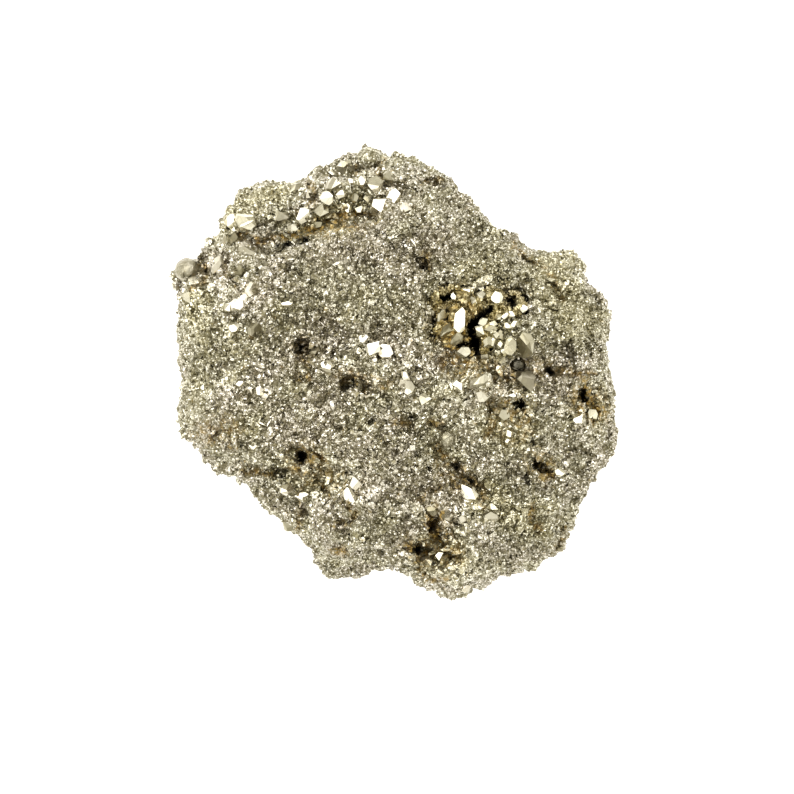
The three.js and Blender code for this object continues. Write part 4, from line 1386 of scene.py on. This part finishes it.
def tarnish_group() -> bpy.types.NodeTree:
    """Makes the shared group that lays the mottled tint, rust and darkness on a clean metal colour; the
    darkness is painted shade in holes and creases, and the own black of dark knobs.

    Returns:
        The group.
    """
    group = bpy.data.node_groups.new("tarnish", "ShaderNodeTree")
    socket(group, "Clean", "Color", "INPUT")
    socket(group, "Mottle", "Float", "INPUT", 0.5)
    socket(group, "Colour", "Color", "OUTPUT")
    socket(group, "Rust", "Float", "OUTPUT")
    build = NodeBuilder(group)
    given = build.add("NodeGroupInput")
    place = build.add("TexCoord").outputs["Object"]
    broad = build.add("TexNoise", Vector=place, Scale=180.0, Detail=4.0, Roughness=0.6).outputs[0]
    fine = build.add("TexNoise", Vector=place, Scale=1300.0, Detail=3.0, Roughness=0.65).outputs[0]
    warm = build.add("Attribute", {"attribute_name": "warm"}).outputs["Fac"]
    warmth = build.math("ADD", build.spread(warm, (0, 1), (-0.08, 0.17)), broad)
    tint = build.ramp(warmth, TINTS)
    tinted = build.mixed(given.outputs["Mottle"], given.outputs["Clean"], tint, "MULTIPLY")
    rust = build.add("Attribute", {"attribute_name": "rust"}).outputs["Fac"]
    stained = build.math("MULTIPLY", rust, build.spread(fine, (0.38, 0.56), (0.0, 1.0)))
    rusty = build.math("MAXIMUM", stained, build.spread(fine, (0.64, 0.74), (0.0, 0.35)))
    brown = build.ramp(fine, BROWNS)
    browned = build.mixed(rusty, tinted, brown)
    # Painted shade in holes and creases, and the dark knobs' own black, both come from the dark attribute
    dark = build.add("Attribute", {"attribute_name": "dark"}).outputs["Fac"]
    shaded_and_blackened = build.mixed(dark, browned, (*SHADE_AND_KNOB_BLACK, 1))
    given_back = build.add("NodeGroupOutput")
    group.links.new(shaded_and_blackened, given_back.inputs["Colour"])
    group.links.new(build.math("SUBTRACT", rusty, dark), given_back.inputs["Rust"])
    return group


# How rough and how metallic the rust is
RUST_ROUGHNESS = 0.55
RUST_METALLIC = 0.75


@dataclass(frozen=True)
class PyriteFinish:
    """A finish of pyrite.

    Attributes:
        name: the material's name.
        dull: the metal's colour where its tone is 0.
        bright: its colour where its tone is 1.
        roughness: its roughness where its tone is 0.
        polish: how much smoother it is where its tone is 1.
        facet_size: the size of its tiny facets, in millimetres.
        facet_lean: how far they lean.
        coarse_lean: how far they lean in the coarse patches.
        unevenness: how much their tones differ.
        gap_shade_darkness: how dark the painted shade in the gaps between them is, from 0 to 1.
        mottle: the strength of its mottled tint.
        calm_tone: the tone that calm patches tend to.
    """

    name: str
    dull: tuple[float, float, float]
    bright: tuple[float, float, float]
    roughness: float
    polish: float
    facet_size: float
    facet_lean: float
    coarse_lean: float
    unevenness: float
    gap_shade_darkness: float
    mottle: float
    calm_tone: float = 0.45

    def material(self, facets: bpy.types.NodeTree, tarnish: bpy.types.NodeTree) -> bpy.types.Material:
        """Makes the material.

        Args:
            facets: the shared group of tiny facets.
            tarnish: the shared group of tarnish.

        Returns:
            The material.
        """
        material = bpy.data.materials.new(self.name)
        material.use_nodes = True
        tree = material.node_tree
        tree.nodes.clear()
        build = NodeBuilder(tree)
        coarse = build.add("Attribute", {"attribute_name": "coarse"}).outputs["Fac"]
        calm = build.add("Attribute", {"attribute_name": "calm"}).outputs["Fac"]
        lively = build.math("SUBTRACT", 1.0, build.math("MULTIPLY", calm, 0.75))
        full_lean = build.spread(coarse, (0, 1), (self.facet_lean, self.coarse_lean))
        lean = build.math("MULTIPLY", full_lean, lively)
        cells = build.add("Group", {"node_tree": facets}, Size=self.facet_size, Lean=lean)
        own_tone = build.add("Attribute", {"attribute_name": "tone"}).outputs["Fac"]
        tone = build.between(lively, self.calm_tone, own_tone)
        uneven = build.spread(cells.outputs["Value"], (0, 1), (-self.unevenness, self.unevenness))
        whole = build.math("ADD", tone, uneven)
        # Painted shade: the colour is darkened along the gaps between the tiny facets
        gap_shade_strength = build.spread(coarse, (0, 1), (self.gap_shade_darkness, 0.6 * self.gap_shade_darkness))
        painted_gap_shade = build.math("MULTIPLY", cells.outputs["Gap"], gap_shade_strength)
        shown = build.math("MULTIPLY", whole, build.math("SUBTRACT", 1.0, painted_gap_shade))
        clean = build.mixed(shown, (*self.dull, 1), (*self.bright, 1))
        aged = build.add("Group", {"node_tree": tarnish}, Clean=clean, Mottle=self.mottle)
        rust = aged.outputs["Rust"]
        smooth = build.spread(shown, (0, 1), (self.roughness, self.roughness - self.polish))
        roughness = build.between(rust, smooth, RUST_ROUGHNESS)
        shader = build.add(
            "BsdfPrincipled",
            Base_Color=aged.outputs["Colour"],
            Roughness=roughness,
            Metallic=build.spread(rust, (0, 1), (1.0, RUST_METALLIC)),
            Normal=cells.outputs["Normal"],
        )
        build.add("OutputMaterial", Surface=shader.outputs[0])
        return material


GRANULAR = PyriteFinish(
    name="granular pyrite",
    dull=(0.165, 0.149, 0.092),
    bright=(0.93, 0.907, 0.82),
    roughness=0.4,
    polish=0.14,
    facet_size=0.2,
    facet_lean=0.5,
    coarse_lean=0.25,
    unevenness=0.75,
    gap_shade_darkness=0.85,
    mottle=0.75,
)
CRYSTALLINE = PyriteFinish(
    name="crystal faces",
    dull=(0.22, 0.2, 0.13),
    bright=(0.7, 0.67, 0.57),
    roughness=0.34,
    polish=0.12,
    facet_size=0.7,
    facet_lean=0.05,
    coarse_lean=0.05,
    unevenness=0.12,
    gap_shade_darkness=0.15,
    mottle=0.5,
)
GOLDEN = PyriteFinish(
    name="golden crust",
    dull=(0.17, 0.14, 0.06),
    bright=(0.78, 0.7, 0.48),
    roughness=0.4,
    polish=0.14,
    facet_size=0.3,
    facet_lean=0.35,
    coarse_lean=0.2,
    unevenness=0.3,
    gap_shade_darkness=0.5,
    mottle=0.6,
)


@dataclass
class Rock:
    """The lump's fine broken skin, which stands for its plain faceted solid.

    Attributes:
        voxel: the width of the skin's faces, in millimetres.
        smoothing: how many times the plain solid's edges are evened out first.
        inset: how far the skin is drawn in, so that its blocks end at the solid's surface.
        lumps: the kinds of large block that only the upper faces have: size, spread of levels and tilt.
        patch_rise: how far the pale patches rise and the dull ones sink, in millimetres.
        face_drop: how far the upper faces are drawn in further, in millimetres.
        blocks: the kinds of small block that every face has.
        jitter: how far each corner is shifted at random, in millimetres.
        hole_depth: how deep the dark holes go, in millimetres.
        crease_depth: how deep the darkest creases go, in millimetres.
        gap_shade_tone: how bright the skin is, which shows between the grains; it is kept dark there as
            painted shade.
    """

    voxel: float = 0.345
    smoothing: int = 3
    inset: float = 0.3
    lumps: tuple[tuple[float, float, float], ...] = ((5.2, 0.4, 0.06), (2.6, 0.35, 0.15))
    patch_rise: float = 0.35
    face_drop: float = 0.1
    blocks: tuple[tuple[float, float, float], ...] = ((1.3, 0.26, 0.35), (0.65, 0.16, 0.4))
    jitter: float = 0.05
    hole_depth: float = 1.8
    crease_depth: float = 1.0
    gap_shade_tone: float = 0.2
    mesh: bpy.types.Mesh = field(init=False)

    def build(self, look: Look) -> bpy.types.Object:
        """Makes the skin and its object.

        Args:
            look: its material and slot.

        Returns:
            The object.
        """
        self.mesh = remeshed(ROCK_NODE, self.voxel * MM, self.smoothing)
        places = vertex_places(self.mesh)
        normals = vertex_normals(self.mesh)
        height = np.full(len(places), -self.inset * MM)
        height += stacked_blocks(places, self.blocks, 0)
        # Only the upper faces, from the rim up, have large blocks and lower mounds
        upper = np.clip((normals[:, 2] - 0.35) / 0.4, 0, 1)
        upper *= np.clip((places[:, 2] / MM - RIM_LEVEL + 2) / 4, 0, 1)
        height += upper * stacked_blocks(places, self.lumps, 50)
        for mounds in (LARGE_MOUNDS, SMALL_MOUNDS):
            reach = (mounds.side + (mounds.top - mounds.side) * upper) * MM
            height += reach * (mounds.shape(places) - MOUND_MIDDLE)
        height += upper * (self.patch_rise * patch_relief(places) - self.face_drop) * MM
        draw = np.random.default_rng(3)
        shift = draw.normal(scale=self.jitter * MM, size=places.shape)
        shift[:, 2] -= self.hole_depth * MM * patch_strength(places, HOLES, HOLE_EDGE)
        shift[:, 2] -= self.crease_depth * MM * crease_strength(places)
        move_vertices(self.mesh, places + normals * height[:, None] + shift)
        # Painted shade: the skin is kept dark where it shows between the grains
        tones = block_heights(places, 0.5 * MM, 0.5, 0.0, 71) + self.gap_shade_tone + 0.12 * patch_relief(places)
        write_attribute(self.mesh, "tone", np.clip(tones, 0, 1))
        write_stains(self.mesh)
        self.mesh.shade_flat()
        piece = new_piece("broken_skin", self.mesh, look)
        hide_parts(ROCK_NODE)
        return piece


class Ground:
    """The surfaces that crystals stand on."""

    def __init__(self) -> None:
        """Starts with no surface."""
        self.trees: list[BVHTree] = []

    def add(self, mesh: bpy.types.Mesh) -> None:
        """Takes a mesh as one of the surfaces."""
        faces = [tuple(polygon.vertices) for polygon in mesh.polygons]
        self.trees.append(BVHTree.FromPolygons([vertex.co for vertex in mesh.vertices], faces))

    def under(self, at: tuple[float, float]) -> Vector:
        """Finds the highest point under a place in plan.

        Args:
            at: the place, in millimetres from the outline's origin.

        Returns:
            The point, in the frame.
        """
        x, y = in_frame(at)
        hits = [tree.ray_cast(Vector((x, y, 1)), Vector((0, 0, -1)))[0] for tree in self.trees]
        at_rim = Vector((x, y, RIM_LEVEL * MM))
        return max((hit for hit in hits if hit), key=lambda hit: hit.z, default=at_rim)


def coat(
    mesh: bpy.types.Mesh, kinds: Sequence[GrainKind], cleared: Sequence[Patch], look: Look, seed: int
) -> list[bpy.types.Object]:
    """Makes small grains all over a mesh, one joined piece for each kind.

    Args:
        mesh: the mesh that they grow on.
        kinds: the kinds of grain.
        cleared: where none grow.
        look: their material and slot.
        seed: what sets these grains apart from another mesh's.

    Returns:
        The objects.
    """
    pieces = []
    for k, kind in enumerate(kinds):
        shapes = kind.patterns()
        grains = joined_copies(kind.name, shapes, scattered(mesh, kind, cleared, seed + k))
        for shape in shapes:
            shape.free()
        pieces.append(new_piece(kind.name, grains, look))
    return pieces


@dataclass
class Knobs:
    """Round knobs, joined in one piece.

    Attributes:
        name: the piece's name.
        knobs: the knobs.
        detail: how finely they are divided.
        blocks: the kinds of small block that their surface has: size, spread of levels and tilt.
        waviness: how far from round they are, in millimetres.
        calm: how smooth they look, from 0 to 1.
    """

    name: str
    knobs: Sequence[Knob]
    detail: int = 5
    blocks: tuple[tuple[float, float, float], ...] = ((1.2, 0.08, 0.1), (0.4, 0.02, 0.1))
    waviness: float = 0.06
    calm: float = 0.8

    def build(self, ground: Ground, look: Look) -> bpy.types.Object:
        """Makes the piece.

        Args:
            ground: what the knobs stand on.
            look: their material and slot.

        Returns:
            The object.
        """
        shape = bmesh.new()
        for knob in self.knobs:
            place = Matrix.Translation(ground.under(knob.at) - Vector((0, 0, knob.sunk * knob.size * MM)))
            radius = (knob.size / 2 - self.waviness) * MM
            bmesh.ops.create_icosphere(shape, subdivisions=self.detail, radius=radius, matrix=place)
        mesh = bpy.data.meshes.new(self.name)
        shape.to_mesh(mesh)
        shape.free()
        places = vertex_places(mesh)
        height = stacked_blocks(places, self.blocks, 700)
        move_vertices(mesh, places + vertex_normals(mesh) * height[:, None])
        each = len(places) // len(self.knobs)
        write_stains(mesh)
        write_attribute(mesh, "tone", np.repeat([knob.tone for knob in self.knobs], each))
        write_attribute(mesh, "dark", np.repeat([knob.dark for knob in self.knobs], each))
        write_attribute(mesh, "calm", np.full(len(places), self.calm))
        return new_piece(self.name, mesh, look)


@dataclass
class CrystalGroup:
    """Crystals that each have a place of their own, joined in one piece.

    Attributes:
        name: the piece's name.
        crystals: the crystals.
        seed: what sets their random turns and forms apart.
        loose_lean: the steepest lean of those that don't shine, in radians.
    """

    name: str
    crystals: Sequence[Crystal]
    seed: int = 1
    loose_lean: float = 0.9

    def turn_of(self, crystal: Crystal, draw: np.random.Generator) -> Quaternion:
        """Draws the turn of one crystal.

        Args:
            crystal: the crystal.
            draw: the source of random numbers.

        Returns:
            Its turn from the pattern's own attitude.
        """
        spin = draw.uniform(0, 2 * math.pi) if crystal.turn is None else math.radians(crystal.turn)
        about = draw.uniform(0, 2 * math.pi)
        lean = self.loose_lean * (1 - crystal.shine)
        away = Vector((math.cos(about), math.sin(about), 0)) * math.tan(lean)
        facing = (LIT_LEAN + away).normalized()
        return Vector((0, 0, 1)).rotation_difference(facing) @ Quaternion((0, 0, 1), spin)

    def build(self, ground: Ground, look: Look) -> bpy.types.Object:
        """Makes the piece.

        Args:
            ground: what the crystals stand on.
            look: their material and slot.

        Returns:
            The object.
        """
        draw = np.random.default_rng(self.seed)
        whole = bmesh.new()
        tones: list[float] = []
        for k, crystal in enumerate(self.crystals):
            size = crystal.size * MM
            point = ground.under(crystal.at) - Vector((0, 0, crystal.sunk * size))
            place = Matrix.Translation(point) @ self.turn_of(crystal, draw).to_matrix().to_4x4()
            place @= Matrix.Diagonal((size * crystal.stretch, size, size, 1))
            shape = crystal_shape(crystal.habit, 1000 * self.seed + k)
            shape.transform(place)
            part = bpy.data.meshes.new("part")
            shape.to_mesh(part)
            shape.free()
            whole.from_mesh(part)
            tones.extend([crystal.tone] * len(part.vertices))
            bpy.data.meshes.remove(part)
        mesh = bpy.data.meshes.new(self.name)
        whole.to_mesh(mesh)
        whole.free()
        move_vertices(mesh, vertex_places(mesh))
        write_attribute(mesh, "tone", np.array(tones))
        write_attribute(mesh, "rust", np.zeros(len(tones)))
        write_attribute(mesh, "dark", np.zeros(len(tones)))
        write_attribute(mesh, "warm", patch_strength(vertex_places(mesh), WARM, STAIN_EDGE))
        return new_piece(self.name, mesh, look)


@dataclass
class Crust:
    """The broken walls of the crust in the hollow.

    Attributes:
        voxel: the width of the walls' faces, in millimetres.
        swell: how far the walls are pushed out, so that they reach the rock round them, in millimetres.
        blocks: the kinds of small block that they have: size, spread of levels and tilt.
        hole_depth: how deep its gaps go, in millimetres.
        tone: how bright its metal is, from 0 to 1.
    """

    voxel: float = 0.16
    swell: float = 0.25
    blocks: tuple[tuple[float, float, float], ...] = ((1.2, 0.5, 0.5), (0.6, 0.2, 0.5))
    hole_depth: float = 2.2
    tone: float = 0.3
    mesh: bpy.types.Mesh = field(init=False)

    def build(self, look: Look) -> bpy.types.Object:
        """Makes the walls and their object.

        Args:
            look: their material and slot.

        Returns:
            The object.
        """
        self.mesh = remeshed(CRUST_NODE, self.voxel * MM, 1)
        places = vertex_places(self.mesh)
        height = np.full(len(places), self.swell * MM)
        height += stacked_blocks(places, self.blocks, 501)
        shift = np.zeros(places.shape)
        shift[:, 2] = -self.hole_depth * MM * patch_strength(places, HOLES, HOLE_EDGE)
        move_vertices(self.mesh, places + vertex_normals(self.mesh) * height[:, None] + shift)
        tones = self.tone + block_heights(places, 0.7 * MM, 0.5, 0.0, 521)
        write_attribute(self.mesh, "tone", np.clip(tones, 0, 1))
        write_stains(self.mesh)
        self.mesh.shade_flat()
        piece = new_piece("hollow_walls", self.mesh, look)
        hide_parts(CRUST_NODE)
        return piece


@dataclass
class Studio:
    """A plain pale floor, soft lights and a camera that looks straight down.

    Attributes:
        lens: the camera's focal length in millimetres.
        film_width: the width of its film in millimetres.
        floor_size: the floor's width in metres.
        floor_white: how pale the floor is.
        floor_glow: how much light the floor gives off.
        light_distance: how far off the lights stand, in metres.
        side_light_size: the width and height of the lesser lights, in metres.
        tent_strength: how bright the tent is at its brightest.
        tent_levels: how bright it is from opposite its brightest place, at 0, to that place, at 1.
    """

    lens: float = 400.0
    film_width: float = 36.0
    floor_size: float = 1.6
    floor_white: float = 0.93
    floor_glow: float = 0.4
    light_distance: float = 0.9
    side_light_size: tuple[float, float] = (0.5, 0.4)
    tent_strength: float = 3.0
    tent_levels: tuple[tuple[float, tuple[float, float, float]], ...] = (
        (0.5, (0.16, 0.148, 0.106)),
        (0.7, (0.32, 0.305, 0.25)),
        (0.84, (0.48, 0.47, 0.43)),
        (0.97, (0.62, 0.615, 0.6)),
    )

    def build_camera(self) -> None:
        """Makes the camera at the photograph's angle and framing."""
        data = bpy.data.cameras.new("camera")
        data.lens = self.lens
        data.sensor_width = self.film_width
        distance = self.lens / data.sensor_width * PHOTO_WIDTH * MM
        data.clip_start = 0.01
        data.clip_end = 10.0
        camera = bpy.data.objects.new("camera", data)
        x, y = in_frame(PHOTO_MIDDLE)
        camera.location = (x, y, RIM_LEVEL * MM + distance)
        bpy.context.scene.collection.objects.link(camera)
        bpy.context.scene.camera = camera

    def build_floor(self) -> None:
        """Makes the pale floor."""
        shape = bmesh.new()
        bmesh.ops.create_grid(shape, x_segments=2, y_segments=2, size=self.floor_size / 2)
        mesh = bpy.data.meshes.new("floor")
        shape.to_mesh(mesh)
        shape.free()
        floor = bpy.data.objects.new("floor", mesh)
        material = bpy.data.materials.new("white paper")
        material.use_nodes = True
        shader = material.node_tree.nodes["Principled BSDF"]
        shader.inputs["Base Color"].default_value = (*[self.floor_white] * 3, 1)
        shader.inputs["Roughness"].default_value = 0.9
        shader.inputs["Emission Color"].default_value = (1, 1, 1, 1)
        shader.inputs["Emission Strength"].default_value = self.floor_glow
        mesh.materials.append(material)
        bpy.context.scene.collection.objects.link(floor)

    def add_light(self, name: str, direction: Vector, size: tuple[float, float], power: float) -> None:
        """Adds a soft rectangular light that faces the specimen.

        Args:
            name: its name.
            direction: where it stands, from the specimen.
            size: its width and height in metres.
            power: its power in watts.
        """
        data = bpy.data.lights.new(name, "AREA")
        data.shape = "RECTANGLE"
        data.size, data.size_y = size
        data.energy = power
        data.color = LIGHT_COLOUR
        light = bpy.data.objects.new(name, data)
        light.location = direction.normalized() * self.light_distance
        light.rotation_mode = "QUATERNION"
        light.rotation_quaternion = direction.to_track_quat("Z", "Y")
        bpy.context.scene.collection.objects.link(light)

    def build_tent(self) -> None:
        """Makes the white tent round the specimen, brightest towards the main light."""
        world = bpy.data.worlds.new("white tent")
        world.use_nodes = True
        tree = world.node_tree
        tree.nodes.clear()
        build = NodeBuilder(tree)
        way = build.add("TexCoord").outputs["Generated"]
        nearness = build.add(
            "VectorMath", {"operation": "DOT_PRODUCT"}, _0=way, _1=tuple(TENT_DIRECTION)
        ).outputs["Value"]
        level = build.ramp(build.spread(nearness, (-1, 1), (0, 1)), self.tent_levels)
        background = build.add("Background", Color=level, Strength=self.tent_strength)
        build.add("OutputWorld", Surface=background.outputs[0])
        bpy.context.scene.world = world
        bpy.context.scene.view_settings.view_transform = "Standard"

    def build_lights(self) -> None:
        """Makes the soft lights."""
        self.add_light("key", KEY_DIRECTION, (1.0, 0.9), 5.8)
        self.add_light("right", Vector((0.85, 0.1, 0.6)), self.side_light_size, 1.6)
        self.add_light("left", Vector((-0.9, -0.05, 0.5)), self.side_light_size, 1.0)
        self.add_light("front", Vector((0.1, -0.8, 0.75)), self.side_light_size, 1.4)

    def build(self) -> None:
        """Makes everything round the specimen."""
        self.build_camera()
        self.build_floor()
        self.build_tent()
        self.build_lights()


def main() -> None:
    """Builds the specimen's pieces and the studio in order."""
    logging.basicConfig(level=logging.INFO, format="%(message)s")
    Studio().build()
    facets = facet_group()
    tarnish = tarnish_group()
    granular = Look(GRANULAR.material(facets, tarnish), "granular_pyrite")
    crystalline = Look(CRYSTALLINE.material(facets, tarnish), "bright_pyrite")
    golden = Look(GOLDEN.material(facets, tarnish), "bright_pyrite")

    rock = Rock()
    rock.build(granular)
    crust = Crust()
    crust.build(golden)
    ground = Ground()
    ground.add(rock.mesh)
    ground.add(crust.mesh)
    Knobs("smooth_knobs", SMOOTH_KNOBS).build(ground, crystalline)
    Knobs("grainy_knobs", GRAINY_KNOBS, calm=0.1).build(ground, granular)

    on_face = [*FACE_CRYSTALS, *MOUTH_CRYSTALS, *SMOOTH_KNOBS, *GRAINY_KNOBS]
    coat(rock.mesh, ROCK_GRAINS, [grown.footprint() for grown in on_face], granular, 100)
    in_hollow = [*CRUST_CRYSTALS, *RING_CRYSTALS]
    coat(crust.mesh, HOLLOW_GRAINS, [grown.footprint() for grown in in_hollow], golden, 140)
    CrystalGroup("face_crystals", FACE_CRYSTALS, seed=5).build(ground, crystalline)
    CrystalGroup("mouth_crystals", MOUTH_CRYSTALS, seed=7).build(ground, crystalline)
    CrystalGroup("hollow_crystals", in_hollow, seed=9).build(ground, crystalline)


if __name__ == "__main__":
    main()
